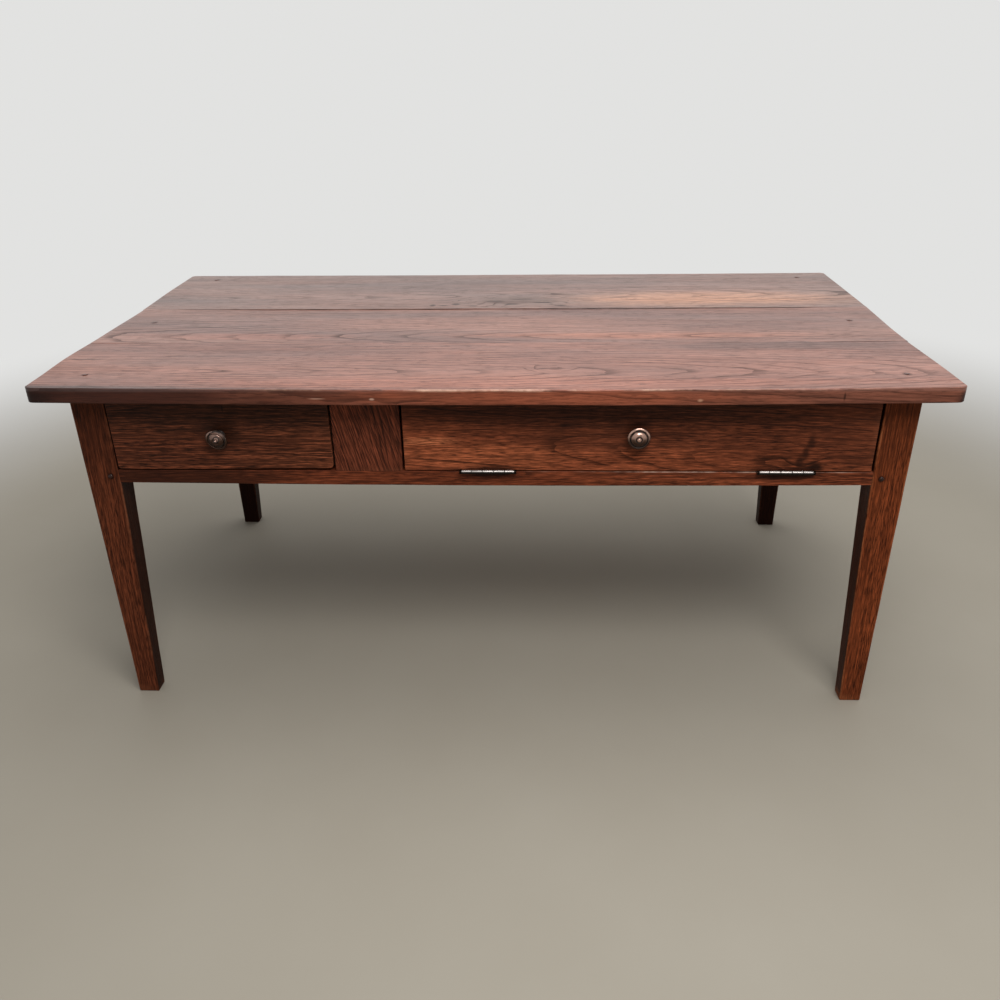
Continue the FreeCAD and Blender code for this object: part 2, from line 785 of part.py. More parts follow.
# Front stile: tenoned into the rail, with a rebate behind its left edge for the partition
front_stile = make_body("front_stile", (stile_left_x, front_y, front_rail_top_z))
stile_height = top_under_z - front_rail_top_z
stile_sketch = sketch_on(front_stile, "XY_Plane")
draw_outline(stile_sketch, rectangle(0, 0, size.stile_width, size.panel_thickness))
pad(front_stile, stile_sketch, stile_height)
block(
    front_stile, "Additive",
    (size.stile_tenon_shoulder, stile_tenon_near, -size.stile_tenon_length),
    (size.stile_width - size.stile_tenon_shoulder, stile_tenon_near + size.stile_tenon_thickness, 0),
)
block(
    front_stile, "Subtractive",
    (0, size.panel_thickness - size.partition_housing, 0),
    (size.partition_thickness + size.joint_fit, size.panel_thickness, stile_height),
)

# Partition: a board from the stile to the rear rail, notched over the front rail
partition_front_y = panel_back_y - size.partition_housing
partition = make_body("partition", (stile_left_x, partition_front_y, runner_low_z))
partition_length = rear_rail_inner_y + size.partition_housing - partition_front_y
partition_height = top_under_z - runner_low_z
notch_length = front_leg_back_y - partition_front_y
partition_sketch = sketch_on(partition, "YZ_Plane")
draw_outline(
    partition_sketch,
    [
        (notch_length, 0),
        (partition_length, 0),
        (partition_length, partition_height),
        (0, partition_height),
        (0, size.runner_thickness),
        (notch_length, size.runner_thickness),
    ],
)
pad(partition, partition_sketch, size.partition_thickness)

# Drawer runners: strips flush with the front rail, with a stub tenon at each end
stub_low = (size.runner_thickness - size.stub_tenon_height) / 2
stub_high = stub_low + size.stub_tenon_height
left_runner = make_body("left_drawer_runner", (-side_rail_inner_x, front_leg_back_y, runner_low_z))
left_runner_sketch = sketch_on(left_runner, "XY_Plane")
draw_outline(left_runner_sketch, rectangle(0, 0, size.left_runner_width, side_rail_length))
pad(left_runner, left_runner_sketch, size.runner_thickness)
block(
    left_runner, "Additive",
    (left_stub_span[0] + side_rail_inner_x, -size.stub_tenon_length, stub_low),
    (left_stub_span[1] + side_rail_inner_x, 0, stub_high),
)
block(
    left_runner, "Additive",
    (size.stub_tenon_shoulder, side_rail_length, stub_low),
    (side_rail_inner_x - leg_inner_x - size.stub_tenon_shoulder, side_rail_length + size.stub_tenon_length,
     stub_high),
)
right_runner_left_x = stile_left_x - size.right_runner_width
right_runner_length = rear_rail_inner_y - front_leg_back_y
right_runner = make_body("right_drawer_runner", (right_runner_left_x, front_leg_back_y, runner_low_z))
right_runner_sketch = sketch_on(right_runner, "XY_Plane")
draw_outline(right_runner_sketch, rectangle(0, 0, size.right_runner_width, right_runner_length))
pad(right_runner, right_runner_sketch, size.runner_thickness)
block(
    right_runner, "Additive",
    (size.stub_tenon_shoulder, -size.stub_tenon_length, stub_low),
    (size.right_runner_width - size.stub_tenon_shoulder, right_runner_length + size.stub_tenon_length,
     stub_high),
)

# Drawer guide: a strip on the left runner, in line with the legs' inner faces
drawer_guide = make_body("drawer_guide", (-side_rail_inner_x, front_leg_back_y, front_rail_top_z))
drawer_guide_sketch = sketch_on(drawer_guide, "XY_Plane")
draw_outline(drawer_guide_sketch, rectangle(0, 0, side_rail_inner_x - leg_inner_x, side_rail_length))
pad(drawer_guide, drawer_guide_sketch, size.guide_height)

# Drawer kickers: strips under the top, above the drawer's sides, which keep it level when it is pulled out
kicker_low_z = top_under_z - size.kicker_thickness
for side_name, kicker_left_x, kicker_width, kicker_length in (
    ("left", -side_rail_inner_x, size.left_runner_width, side_rail_length),
    ("right", right_runner_left_x, size.right_runner_width, right_runner_length),
):
    kicker = make_body(f"{side_name}_drawer_kicker", (kicker_left_x, front_leg_back_y, kicker_low_z))
    kicker_sketch = sketch_on(kicker, "XY_Plane")
    draw_outline(kicker_sketch, rectangle(0, 0, kicker_width, kicker_length))
    pad(kicker, kicker_sketch, size.kicker_thickness)

# Drawer stops: two blocks on the front rail, which the drawer front meets when it is flush
drawer_left_x = size.drawer_side_gap - leg_inner_x
drawer_right_x = stile_left_x - size.drawer_side_gap
drawer_width = drawer_right_x - drawer_left_x
drawer_centre_x = (drawer_left_x + drawer_right_x) / 2

stop_front_y = panel_back_y + size.running_gap
group(
    "drawer_stops",
    [
        loose_block(
            (drawer_centre_x + side * size.drawer_stop_spread - size.drawer_stop_length / 2, stop_front_y,
             front_rail_top_z),
            (drawer_centre_x + side * size.drawer_stop_spread + size.drawer_stop_length / 2,
             stop_front_y + size.drawer_stop_depth, front_rail_top_z + size.drawer_stop_height),
        )
        for _, side in SIDES
    ],
)

# Drawer front: a board with a dovetail socket at each end and a groove for the bottom
front_low_z = front_rail_top_z + size.drawer_front_lift
front_height = top_under_z - size.drawer_top_gap - front_low_z
side_low_z = front_rail_top_z + size.running_gap
side_lift = side_low_z - front_low_z
side_height = kicker_low_z - size.kicker_gap - side_low_z
tail_pitch = side_height / TAIL_COUNT
tail_centres = [(index + 0.5) * tail_pitch for index in range(TAIL_COUNT)]
bottom_low = size.drawer_bottom_height
bottom_high = bottom_low + size.drawer_bottom_thickness
groove_depth = size.drawer_bottom_insert + size.joint_fit


def round_front_arrises(body):
    """Eases the four edges round the front face of a panel."""
    round_edges(body, size.panel_edge_round, lambda edge: lies_at(edge, "y", 0))


def knob_bore(body, x, z):
    bore(body, (x, 0, z), "+y", size.knob_screw_radius + size.peg_fit, size.panel_thickness)


drawer_front = make_body("drawer_front", (drawer_left_x, front_y, front_low_z))
drawer_front_sketch = sketch_on(drawer_front, "XY_Plane")
draw_outline(drawer_front_sketch, rectangle(0, 0, drawer_width, size.panel_thickness))
pad(drawer_front, drawer_front_sketch, front_height)
round_front_arrises(drawer_front)
socket_depth = size.drawer_side_thickness + size.joint_fit
for socket_x in (0, drawer_width - socket_depth):
    sockets = sketch_on(drawer_front, "YZ_Plane", socket_x)
    for centre in tail_centres:
        tip_y = size.panel_thickness - size.tail_length - size.joint_fit
        base_half = size.tail_base_width / 2 + size.joint_fit
        tip_half = size.tail_tip_width / 2 + size.joint_fit
        level = centre + side_lift
        draw_outline(
            sockets,
            [
                (tip_y, level - tip_half),
                (size.panel_thickness, level - base_half),
                (size.panel_thickness, level + base_half),
                (tip_y, level + tip_half),
            ],
        )
    pocket(drawer_front, sockets, socket_depth)
groove_end = size.drawer_side_thickness - groove_depth
block(
    drawer_front, "Subtractive",
    (groove_end, size.panel_thickness - groove_depth, side_lift + bottom_low - size.joint_fit),
    (drawer_width - groove_end, size.panel_thickness, side_lift + bottom_high + size.joint_fit),
)
knob_bore(drawer_front, drawer_width / 2, front_height / 2)

# Drawer sides: dovetailed at the front, grooved for the bottom and housed for the back
side_length = size.drawer_length - size.panel_thickness
back_start = side_length - size.drawer_back_inset - size.drawer_back_thickness
back_end = side_length - size.drawer_back_inset
back_top = side_height - size.drawer_back_drop
side_outline = [(0, 0), (side_length, 0), (side_length, side_height), (0, side_height)]
for centre in reversed(tail_centres):
    side_outline += [
        (0, centre + size.tail_base_width / 2),
        (-size.tail_length, centre + size.tail_tip_width / 2),
        (-size.tail_length, centre - size.tail_tip_width / 2),
        (0, centre - size.tail_base_width / 2),
    ]
for side_name, side in SIDES:
    side_x = drawer_left_x if side < 0 else drawer_right_x - size.drawer_side_thickness
    drawer_side = make_body(f"drawer_{side_name}_side", (side_x, panel_back_y, side_low_z))
    side_sketch = sketch_on(drawer_side, "YZ_Plane")
    draw_outline(side_sketch, side_outline)
    pad(drawer_side, side_sketch, size.drawer_side_thickness)
    # the inner face is at the far end of the thickness on the left and at 0 on the right
    for depth, low_y, high_y, low_z, high_z in (
        (groove_depth, -size.tail_length, side_length,
         bottom_low - size.joint_fit, bottom_high + size.joint_fit),
        (size.drawer_back_housing + size.joint_fit, back_start - size.joint_fit, back_end + size.joint_fit,
         bottom_high, side_height),
    ):
        low_x = size.drawer_side_thickness - depth if side < 0 else 0
        high_x = size.drawer_side_thickness if side < 0 else depth
        block(drawer_side, "Subtractive", (low_x, low_y, low_z), (high_x, high_y, high_z))

# Drawer back: it stands on the bottom between the sides
back_left_x = drawer_left_x + size.drawer_side_thickness - size.drawer_back_housing
back_width = drawer_width - 2 * size.drawer_side_thickness + 2 * size.drawer_back_housing
drawer_back = make_body("drawer_back", (back_left_x, panel_back_y + back_start, side_low_z + bottom_high))
drawer_back_sketch = sketch_on(drawer_back, "XY_Plane")
draw_outline(drawer_back_sketch, rectangle(0, 0, back_width, size.drawer_back_thickness))
pad(drawer_back, drawer_back_sketch, back_top - bottom_high)

# Drawer bottom: a panel in the grooves, nailed up into the back
bottom_left_x = drawer_left_x + size.drawer_side_thickness - size.drawer_bottom_insert
bottom_width = drawer_width - 2 * size.drawer_side_thickness + 2 * size.drawer_bottom_insert
bottom_length = size.drawer_bottom_insert + back_end
bottom_front_y = panel_back_y - size.drawer_bottom_insert
drawer_bottom = make_body("drawer_bottom", (bottom_left_x, bottom_front_y, side_low_z + bottom_low))
drawer_bottom_sketch = sketch_on(drawer_bottom, "XY_Plane")
draw_outline(drawer_bottom_sketch, rectangle(0, 0, bottom_width, bottom_length))
pad(drawer_bottom, drawer_bottom_sketch, size.drawer_bottom_thickness)
nail_y = panel_back_y + (back_start + back_end) / 2
nail_bore = size.nail_radius + size.peg_fit
nail_pitch = drawer_width / (BOTTOM_NAIL_COUNT + 1)
nail_places = [drawer_left_x + (index + 1) * nail_pitch for index in range(BOTTOM_NAIL_COUNT)]
nails = []
for nail_x in nail_places:
    bore(drawer_bottom, (nail_x - bottom_left_x, nail_y - bottom_front_y, 0), UPRIGHT, nail_bore,
         size.drawer_bottom_thickness)
    bore(drawer_back, (nail_x - back_left_x, size.drawer_back_thickness / 2, 0), UPRIGHT, nail_bore,
         size.nail_length - size.drawer_bottom_thickness)
    nails.append(
        headed((nail_x, nail_y, side_low_z + bottom_low), UPRIGHT, size.nail_radius, size.nail_length,
               size.nail_head_radius, size.nail_head_height)
    )
group("drawer_bottom_nails", nails)

# Compartment floor: boards that run from front to back on two cleats, flush with the front rail
floor_low_z = front_rail_top_z - size.floor_thickness
floor_length = rear_rail_inner_y - front_leg_back_y
floor_pitch = (side_rail_inner_x - partition_right_x) / FLOOR_BOARD_COUNT
for index in range(FLOOR_BOARD_COUNT):
    board_left_x = partition_right_x + index * floor_pitch
    last = index == FLOOR_BOARD_COUNT - 1
    board_width = floor_pitch if last else floor_pitch - size.floor_gap
    board = make_body(f"floor_board_{index + 1}", (board_left_x, front_leg_back_y, floor_low_z))
    board_sketch = sketch_on(board, "XY_Plane")
    draw_outline(board_sketch, rectangle(0, 0, board_width, floor_length))
    pad(board, board_sketch, size.floor_thickness)
    if last:
        # the last board is cut away round the rear right leg
        block(
            board, "Subtractive",
            (leg_inner_x - board_left_x - size.joint_fit, rear_leg_front_y - front_leg_back_y - size.joint_fit,
             0),
            (board_width, floor_length, size.floor_thickness),
        )

cleat_height = floor_low_z - apron_low_z
cleat_length = leg_inner_x - partition_right_x
cleat_screw_z = apron_low_z + cleat_height / 2
cleat_screw_pitch = (cleat_length - 2 * size.cleat_screw_end_distance) / (CLEAT_SCREW_COUNT - 1)
wood_screw_bore = size.wood_screw_radius + size.peg_fit
cleat_screws = []
for cleat_name, cleat_y, rail, heading in (
    ("front", front_leg_back_y, front_rail, "-y"),
    ("rear", rear_rail_inner_y - size.cleat_depth, rear_rail, "+y"),
):
    cleat = make_body(f"{cleat_name}_floor_cleat", (partition_right_x, cleat_y, apron_low_z))
    cleat_sketch = sketch_on(cleat, "XY_Plane")
    draw_outline(cleat_sketch, rectangle(0, 0, cleat_length, size.cleat_depth))
    pad(cleat, cleat_sketch, cleat_height)
    for index in range(CLEAT_SCREW_COUNT):
        offset = size.cleat_screw_end_distance + index * cleat_screw_pitch
        bore(cleat, (offset, 0, cleat_height / 2), "+y", wood_screw_bore, size.cleat_depth)
        screw_x = partition_right_x + offset
        rail_face_y = size.leg_depth if heading == "-y" else 0
        bore(rail, (screw_x + leg_inner_x, rail_face_y, cleat_height / 2), heading, wood_screw_bore,
             size.wood_screw_bite)
        head_y = cleat_y + size.cleat_depth if heading == "-y" else cleat_y
        cleat_screws.append(
            headed((screw_x, head_y, cleat_screw_z), heading, size.wood_screw_radius,
                   size.cleat_depth + size.wood_screw_bite, size.wood_screw_head_radius,
                   size.wood_screw_head_height)
        )
group("cleat_screws", cleat_screws)

# Flap stops: two blocks screwed under the front board, which the flap leans on when it is shut
flap_stop_screws = []
flap_stops = []
for stop_x in (flap_left_x + size.flap_stop_inset, flap_right_x - size.flap_stop_inset):
    stop_y = panel_back_y + size.running_gap
    stop_low_z = top_under_z - size.flap_stop_height
    whole = loose_block(
        (stop_x - size.flap_stop_length / 2, stop_y, stop_low_z),
        (stop_x + size.flap_stop_length / 2, stop_y + size.flap_stop_depth, top_under_z),
    )
    screw_point = (stop_x, stop_y + size.flap_stop_depth / 2, stop_low_z)
    drilled = doc.addObject("Part::Cut", "stop")
    drilled.Base = whole
    drilled.Tool = loose_bar(screw_point, UPRIGHT, wood_screw_bore, size.flap_stop_height)
    flap_stops.append(drilled)
    bore(top_front_board, (stop_x + half_length, screw_point[1] - top_front_y, 0), UPRIGHT, wood_screw_bore,
         size.wood_screw_bite)
    flap_stop_screws.append(
        headed(screw_point, UPRIGHT, size.wood_screw_radius, size.flap_stop_height + size.wood_screw_bite,
               size.wood_screw_head_radius, size.wood_screw_head_height)
    )
group("flap_stops", flap_stops)
group("flap_stop_screws", flap_stop_screws)

# Flap: one board, let in at its lower edge for the upper hinge leaves
flap_length = flap_right_x - flap_left_x
flap_height = flap_high_z - flap_low_z
flap = make_body("flap_board", (flap_left_x, front_y, flap_low_z))
flap_sketch = sketch_on(flap, "XY_Plane")
draw_outline(flap_sketch, rectangle(0, 0, flap_length, size.panel_thickness))
pad(flap, flap_sketch, flap_height)
round_front_arrises(flap)
for centre in hinge_centres.values():
    leaf_start = centre - size.hinge_length / 2 - flap_left_x
    block(
        flap, "Subtractive",
        (leaf_start - size.joint_fit, 0, 0),
        (leaf_start + size.hinge_length + size.joint_fit, leaf_edge_y - front_y + size.joint_fit, leaf_recess),
    )
    for offset in leaf_screw_offsets():
        bore(flap, (leaf_start + offset, leaf_screw_y - front_y, 0), UPRIGHT, leaf_screw_bore,
             size.leaf_screw_length)
knob_bore(flap, flap_length / 2, flap_height / 2)


def make_leaf(label, centre, level, knuckles):
    """A hinge leaf with its knuckles, seen from the pin. Level is 1 for the flap's leaf, which lies above the
    pin, and -1 for the rail's leaf below it. Its origin is on the pin's axis at the leaf's left end."""
    body = make_body(label, (centre - size.hinge_length / 2, hinge_pin_y, hinge_pin_z))
    low_z, high_z = inward(level, size.leaf_gap / 2, size.leaf_gap / 2 + size.leaf_thickness)
    plate_start = size.hinge_barrel_radius + size.leaf_barrel_gap
    plate = sketch_on(body, "XY_Plane", low_z)
    draw_outline(plate, rectangle(0, plate_start, size.hinge_length, size.leaf_reach))
    pad(body, plate, size.leaf_thickness)
    knuckle_pitch = size.hinge_length / KNUCKLE_COUNT
    for index in knuckles:
        start_x = index * knuckle_pitch + size.knuckle_gap / 2
        end_x = (index + 1) * knuckle_pitch - size.knuckle_gap / 2
        block(body, "Additive", (start_x, 0, low_z), (end_x, plate_start, high_z))
        round_bar(body, "Additive", (start_x, 0, 0), "+x", size.hinge_barrel_radius, end_x - start_x)
    bore(body, (0, 0, 0), "+x", size.hinge_pin_radius + size.hinge_pin_fit, size.hinge_length)
    # a screw's head lies in the face towards the other leaf
    face_z = level * size.leaf_gap / 2
    for offset in leaf_screw_offsets():
        point = (offset, leaf_screw_y - hinge_pin_y, face_z)
        bore(body, point, heading_of(level, "z"), leaf_screw_bore, size.leaf_thickness)
        sink = body.newObject("PartDesign::SubtractiveCone", f"{label}_sink")
        place(sink, point, heading_of(level, "z"))
        bind(
            sink,
            {
                "Radius1": size.leaf_screw_head_radius + size.peg_fit,
                "Radius2": leaf_screw_bore,
                "Height": size.leaf_screw_head_height,
            },
        )


def make_pin(label, centre):
    """A hinge pin with a flat head past each end of the barrel."""
    start_x = centre - size.hinge_length / 2
    body = make_body(label, (start_x, hinge_pin_y, hinge_pin_z))
    round_bar(body, "Additive", (0, 0, 0), "+x", size.hinge_pin_radius, size.hinge_length)
    for head_x in (-size.hinge_pin_head_height, size.hinge_length):
        round_bar(body, "Additive", (head_x, 0, 0), "+x", size.hinge_pin_head_radius, size.hinge_pin_head_height)


lower_screws = []
upper_screws = []
for hinge_name, centre in hinge_centres.items():
    make_leaf(f"{hinge_name}_hinge_lower_leaf", centre, -1, range(0, KNUCKLE_COUNT, 2))
    make_leaf(f"{hinge_name}_hinge_upper_leaf", centre, 1, range(1, KNUCKLE_COUNT, 2))
    make_pin(f"{hinge_name}_hinge_pin", centre)
    for offset in leaf_screw_offsets():
        screw_x = centre - size.hinge_length / 2 + offset
        lower_screws.append(countersunk((screw_x, leaf_screw_y, hinge_pin_z - size.leaf_gap / 2), "-z"))
        upper_screws.append(countersunk((screw_x, leaf_screw_y, hinge_pin_z + size.leaf_gap / 2), "+z"))
group("lower_leaf_screws", lower_screws)
group("upper_leaf_screws", upper_screws)


def make_knob(name, x, z):
    """A turned knob on the front face: base, waisted neck, broad rim, a groove and a dome with a small tip.
    A screw from inside the panel holds it."""
    body = make_body(f"{name}_knob", (x, front_y, z), "-y")
    profile = sketch_on(body, "XZ_Plane")
    groove_inner = size.knob_groove_radius - size.knob_groove_width / 2
    groove_outer = size.knob_groove_radius + size.knob_groove_width / 2
    groove_floor = size.knob_rim_high - size.knob_groove_depth
    neck_top = size.knob_base_height + size.knob_neck_height
    rim_edge = size.knob_rim_radius - (size.knob_rim_high - size.knob_rim_low) / 2
    dome_top = size.knob_rim_high + size.knob_dome_height
    draw_outline(
        profile,
        [
            (0, 0),
            (size.knob_base_radius, 0),
            (size.knob_base_radius, size.knob_base_height),
            (size.knob_neck_radius, size.knob_base_height + size.knob_neck_height / 4),
            (size.knob_neck_radius, neck_top),
            (rim_edge, size.knob_rim_low, rim_edge),
            (rim_edge, size.knob_rim_high),
            (groove_outer, size.knob_rim_high),
            (size.knob_groove_radius, groove_floor),
            (groove_inner, size.knob_rim_high, 0),
            (0, dome_top),
        ],
    )
    turned = body.newObject("PartDesign::Revolution", f"{name}_knob_turned")
    turned.Profile = profile
    turned.ReferenceAxis = (profile, ["V_Axis"])
    turned.Angle = 360
    tip = body.newObject("PartDesign::AdditiveSphere", f"{name}_knob_tip")
    place(tip, (0, 0, dome_top - size.knob_tip_sink))
    bind(tip, {"Radius": size.knob_tip_radius})
    screw_bore = size.knob_screw_radius + size.peg_fit
    bore(body, (0, 0, 0), UPRIGHT, screw_bore, size.knob_screw_depth + size.joint_end_room)
    group(
        f"{name}_knob_screw",
        [
            headed((x, panel_back_y, z), "-y", size.knob_screw_radius,
                   size.panel_thickness + size.knob_screw_depth, size.knob_screw_head_radius,
                   size.knob_screw_head_height)
        ],
    )


make_knob("drawer", drawer_centre_x, front_low_z + front_height / 2)
make_knob("flap", (flap_left_x + flap_right_x) / 2, flap_low_z + flap_height / 2)

# Every object has to be sound before anything is written
doc.recompute()
failed = [thing.Label for thing in doc.Objects if {"Invalid", "Error"} & set(thing.State)]
failed += [part.Label for part in subparts if part.Shape.isNull() or not part.Shape.isValid()]
if failed:
    raise RuntimeError(f"these did not build: {failed}")
os.makedirs("parts", exist_ok=True)
for part in subparts:
    part.Shape.exportStep(f"parts/{part.Label}.step")
    print(f"{part.Label}: {len(part.Shape.Solids)} solid(s), {part.Shape.Volume / 1000:.1f} cm3")
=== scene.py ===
import math

import bmesh
import bpy
from mathutils import Matrix, Vector, noise


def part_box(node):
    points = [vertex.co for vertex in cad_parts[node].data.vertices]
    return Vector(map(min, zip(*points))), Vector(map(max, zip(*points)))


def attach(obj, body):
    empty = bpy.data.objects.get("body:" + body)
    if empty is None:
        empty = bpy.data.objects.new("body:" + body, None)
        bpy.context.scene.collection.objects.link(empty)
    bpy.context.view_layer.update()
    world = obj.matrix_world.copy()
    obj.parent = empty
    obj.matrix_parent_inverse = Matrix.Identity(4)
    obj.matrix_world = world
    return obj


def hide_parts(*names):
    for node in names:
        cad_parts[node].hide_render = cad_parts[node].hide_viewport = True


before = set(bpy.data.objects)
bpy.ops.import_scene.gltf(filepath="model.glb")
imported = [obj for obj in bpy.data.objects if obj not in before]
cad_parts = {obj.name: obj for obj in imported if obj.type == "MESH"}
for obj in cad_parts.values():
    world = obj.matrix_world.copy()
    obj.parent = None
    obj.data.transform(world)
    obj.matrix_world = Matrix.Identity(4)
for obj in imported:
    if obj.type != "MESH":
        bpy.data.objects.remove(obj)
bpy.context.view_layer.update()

# Legs
# Four oak legs, square at the head and tapered on their two inner faces below the frame. They are sawn and
# planed by hand, stained a dark red-brown and waxed, with rubbed arrises.


def tone(red, green, blue):
    """A colour as it is seen, from 0 to 255, turned into the light values that a shader takes."""
    def light(part):
        part /= 255
        return part / 12.92 if part <= 0.04045 else ((part + 0.055) / 1.055) ** 2.4
    return (light(red), light(green), light(blue), 1.0)


class Term:
    """A value in a node tree. Sums of terms and numbers add the nodes that work them out."""

    def __init__(self, socket):
        self.socket = socket
        self.tree = socket.id_data

    def __add__(self, other):
        return maths("ADD", self, other)

    def __sub__(self, other):
        return maths("SUBTRACT", self, other)

    def __mul__(self, other):
        return maths("MULTIPLY", self, other)

    def __truediv__(self, other):
        return maths("DIVIDE", self, other)

    def to(self, socket):
        self.tree.links.new(self.socket, socket)


def tree_of(terms):
    """The tree of the terms in a list, which may hold plain numbers too."""
    return next(term.tree for term in terms if isinstance(term, Term))


def add_node(tree, kind, inputs=None, **settings):
    """A node in a tree. An input that is given as a term is linked, and any other is set."""
    node = tree.nodes.new(kind)
    for name, setting in settings.items():
        setattr(node, name, setting)
    for key, given in (inputs or {}).items():
        if isinstance(given, Term):
            given.to(node.inputs[key])
        else:
            node.inputs[key].default_value = given
    return node


def outcome(tree, kind, inputs=None, **settings):
    """The first output in use of a new node."""
    node = add_node(tree, kind, inputs, **settings)
    return Term(next(socket for socket in node.outputs if socket.enabled))


def maths(operation, *terms):
    return outcome(tree_of(terms), "ShaderNodeMath", dict(enumerate(terms)), operation=operation)


def vector_maths(operation, *terms):
    return outcome(tree_of(terms), "ShaderNodeVectorMath", dict(enumerate(terms)), operation=operation)


def scaled(vector, factor):
    return outcome(factor.tree, "ShaderNodeVectorMath", {0: vector, "Scale": factor}, operation="SCALE")


def split(vector):
    """The three parts of a vector."""
    return [Term(socket) for socket in add_node(vector.tree, "ShaderNodeSeparateXYZ", {0: vector}).outputs]


def joined(*parts):
    """The vector that three parts make."""
    return outcome(tree_of(parts), "ShaderNodeCombineXYZ", dict(enumerate(parts)))


def eased(given, low, high, to_low=0.0, to_high=1.0):
    """A value carried from one range to another along a smooth step."""
    limits = {"Value": given, "From Min": low, "From Max": high, "To Min": to_low, "To Max": to_high}
    return outcome(given.tree, "ShaderNodeMapRange", limits, interpolation_type="SMOOTHSTEP")


def cloud(vector, stretch, detail=2.0, output="Fac"):
    """Soft noise, stretched by so many turns a metre along each axis."""
    stretched = vector_maths("MULTIPLY", vector, stretch)
    node = add_node(vector.tree, "ShaderNodeTexNoise", {"Vector": stretched, "Scale": 1.0, "Detail": detail})
    return Term(node.outputs[output])


def laid_over(share, under, over):
    """One colour laid over another by a share."""
    return outcome(share.tree, "ShaderNodeMix", {0: share, 6: under, 7: over}, data_type="RGBA")


def new_tree(kind, name, inputs, outputs):
    """An empty node tree, the terms that it is given and the sockets that its results go to."""
    tree = bpy.data.node_groups.new(name, kind)
    for way, sockets in (("INPUT", inputs), ("OUTPUT", outputs)):
        for label, sort in sockets.items():
            tree.interface.new_socket(label, in_out=way, socket_type="NodeSocket" + sort)
    given = {socket.name: Term(socket) for socket in tree.nodes.new("NodeGroupInput").outputs}
    return tree, given, tree.nodes.new("NodeGroupOutput").inputs


# The figure of sawn oak: year rings about a pith that runs askew below the face, fine streaks, open pores and
# slow changes of tone. X is along the grain, Y across the face and Z out of it.
FIGURE_VALUES = ["Seed", "Pith across", "Pith drift", "Pith depth", "Pith tilt", "Tilt from", "Wander",
                 "Ring width", "Line width", "Swell", "Fineness", "Edge fineness"]
oak_figure, given, found = new_tree(
    "ShaderNodeTree", "oak_figure", {"Vector": "Vector", **dict.fromkeys(FIGURE_VALUES, "Float")},
    dict.fromkeys(["Rings", "Streaks", "Dashes", "Flecks", "Pores", "Tone"], "Float"))
sown = vector_maths("ADD", given["Vector"], scaled((13.7, 5.1, 3.3), given["Seed"]))
along, across, out = split(given["Vector"])
sway = split(cloud(sown, (1.2, 5.0, 5.0), output="Color"))
across = across - given["Pith across"] - along * given["Pith drift"] + (sway[1] - 0.5) * given["Wander"]
tilted = maths("MAXIMUM", along, given["Tilt from"]) * given["Pith tilt"]
depth = out + given["Pith depth"] + tilted + (sway[2] - 0.5) * given["Wander"]
ripple = cloud(sown, (9.0, 40.0, 40.0)) * 0.006
year = (maths("SQRT", across * across + depth * depth) + ripple + given["Swell"]) / given["Ring width"]
strength = outcome(oak_figure, "ShaderNodeTexWhiteNoise", {"W": maths("FLOOR", year) + given["Seed"]},
                   noise_dimensions="1D")
line = eased(maths("FRACT", year), 0.0, given["Line width"], 1.0, 0.0) * (strength * 0.6 + 0.4)
patchy = eased(cloud(sown, (7.0, 30.0, 30.0)), 0.20, 0.60, 0.4, 1.0)
(line * patchy).to(found["Rings"])
fine = vector_maths("MULTIPLY", sown, joined(1.0, given["Fineness"], given["Edge fineness"]))
streak = cloud(fine, (15.0, 280.0, 280.0)) * 0.6 + cloud(fine, (4.0, 170.0, 170.0), 3.0) * 0.4
eased(streak, 0.43, 0.57).to(found["Streaks"])
speck = cloud(fine, (42.0, 300.0, 300.0))
bunch = eased(cloud(sown, (4.0, 40.0, 40.0)), 0.30, 0.60, 0.25, 1.0)
(eased(speck, 0.53, 0.62) * bunch).to(found["Dashes"])
eased(speck, 0.38, 0.47, 1.0, 0.0).to(found["Flecks"])
eased(cloud(sown, (38.0, 1500.0, 1500.0)), 0.60, 0.72).to(found["Pores"])
eased(cloud(sown, (1.3, 9.0, 9.0), 3.0), 0.32, 0.68).to(found["Tone"])

# Wear on an arris: rubbed through in places, as hands and chairs leave it.
worn_arris, given, found = new_tree("ShaderNodeTree", "worn_arris", {"Vector": "Vector", "Arris": "Float"},
                                    {"Wear": "Float"})
brightened = cloud(given["Vector"], (9.0, 9.0, 9.0), 4.0) + cloud(given["Vector"], (90.0, 90.0, 90.0)) * 0.35
(given["Arris"] * eased(brightened, 0.55, 0.95)).to(found["Wear"])

# A spot with a soft uneven edge: a knot, a stain, a streak or a crack, by the shape of its reach.
soft_spot, given, found = new_tree(
    "ShaderNodeTree", "soft_spot",
    {"Vector": "Vector", "Centre": "Vector", "Reach": "Vector", "Unevenness": "Float"}, {"Mask": "Float"})
away = vector_maths("SUBTRACT", given["Vector"], given["Centre"])
away = vector_maths("LENGTH", vector_maths("DIVIDE", away, given["Reach"]))
ragged = cloud(given["Vector"], (16.0, 60.0, 60.0), 3.0) - 0.5
eased(ragged * given["Unevenness"] + away, 0.25, 1.0, 1.0, 0.0).to(found["Mask"])


def grouped(group, inputs):
    """The outputs of a node group, with its inputs linked or set."""
    node = add_node(tree_of(inputs.values()), "ShaderNodeGroup", inputs, node_tree=group)
    return {socket.name: Term(socket) for socket in node.outputs}


def spot_mask(vector, centre, reach, unevenness=1.0):
    return grouped(soft_spot, {"Vector": vector, "Centre": centre, "Reach": reach,
                               "Unevenness": unevenness})["Mask"]


def mesh_mask(tree, name):
    """A value that the mesh holds at each of its points."""
    return Term(add_node(tree, "ShaderNodeAttribute", attribute_name=name).outputs["Fac"])


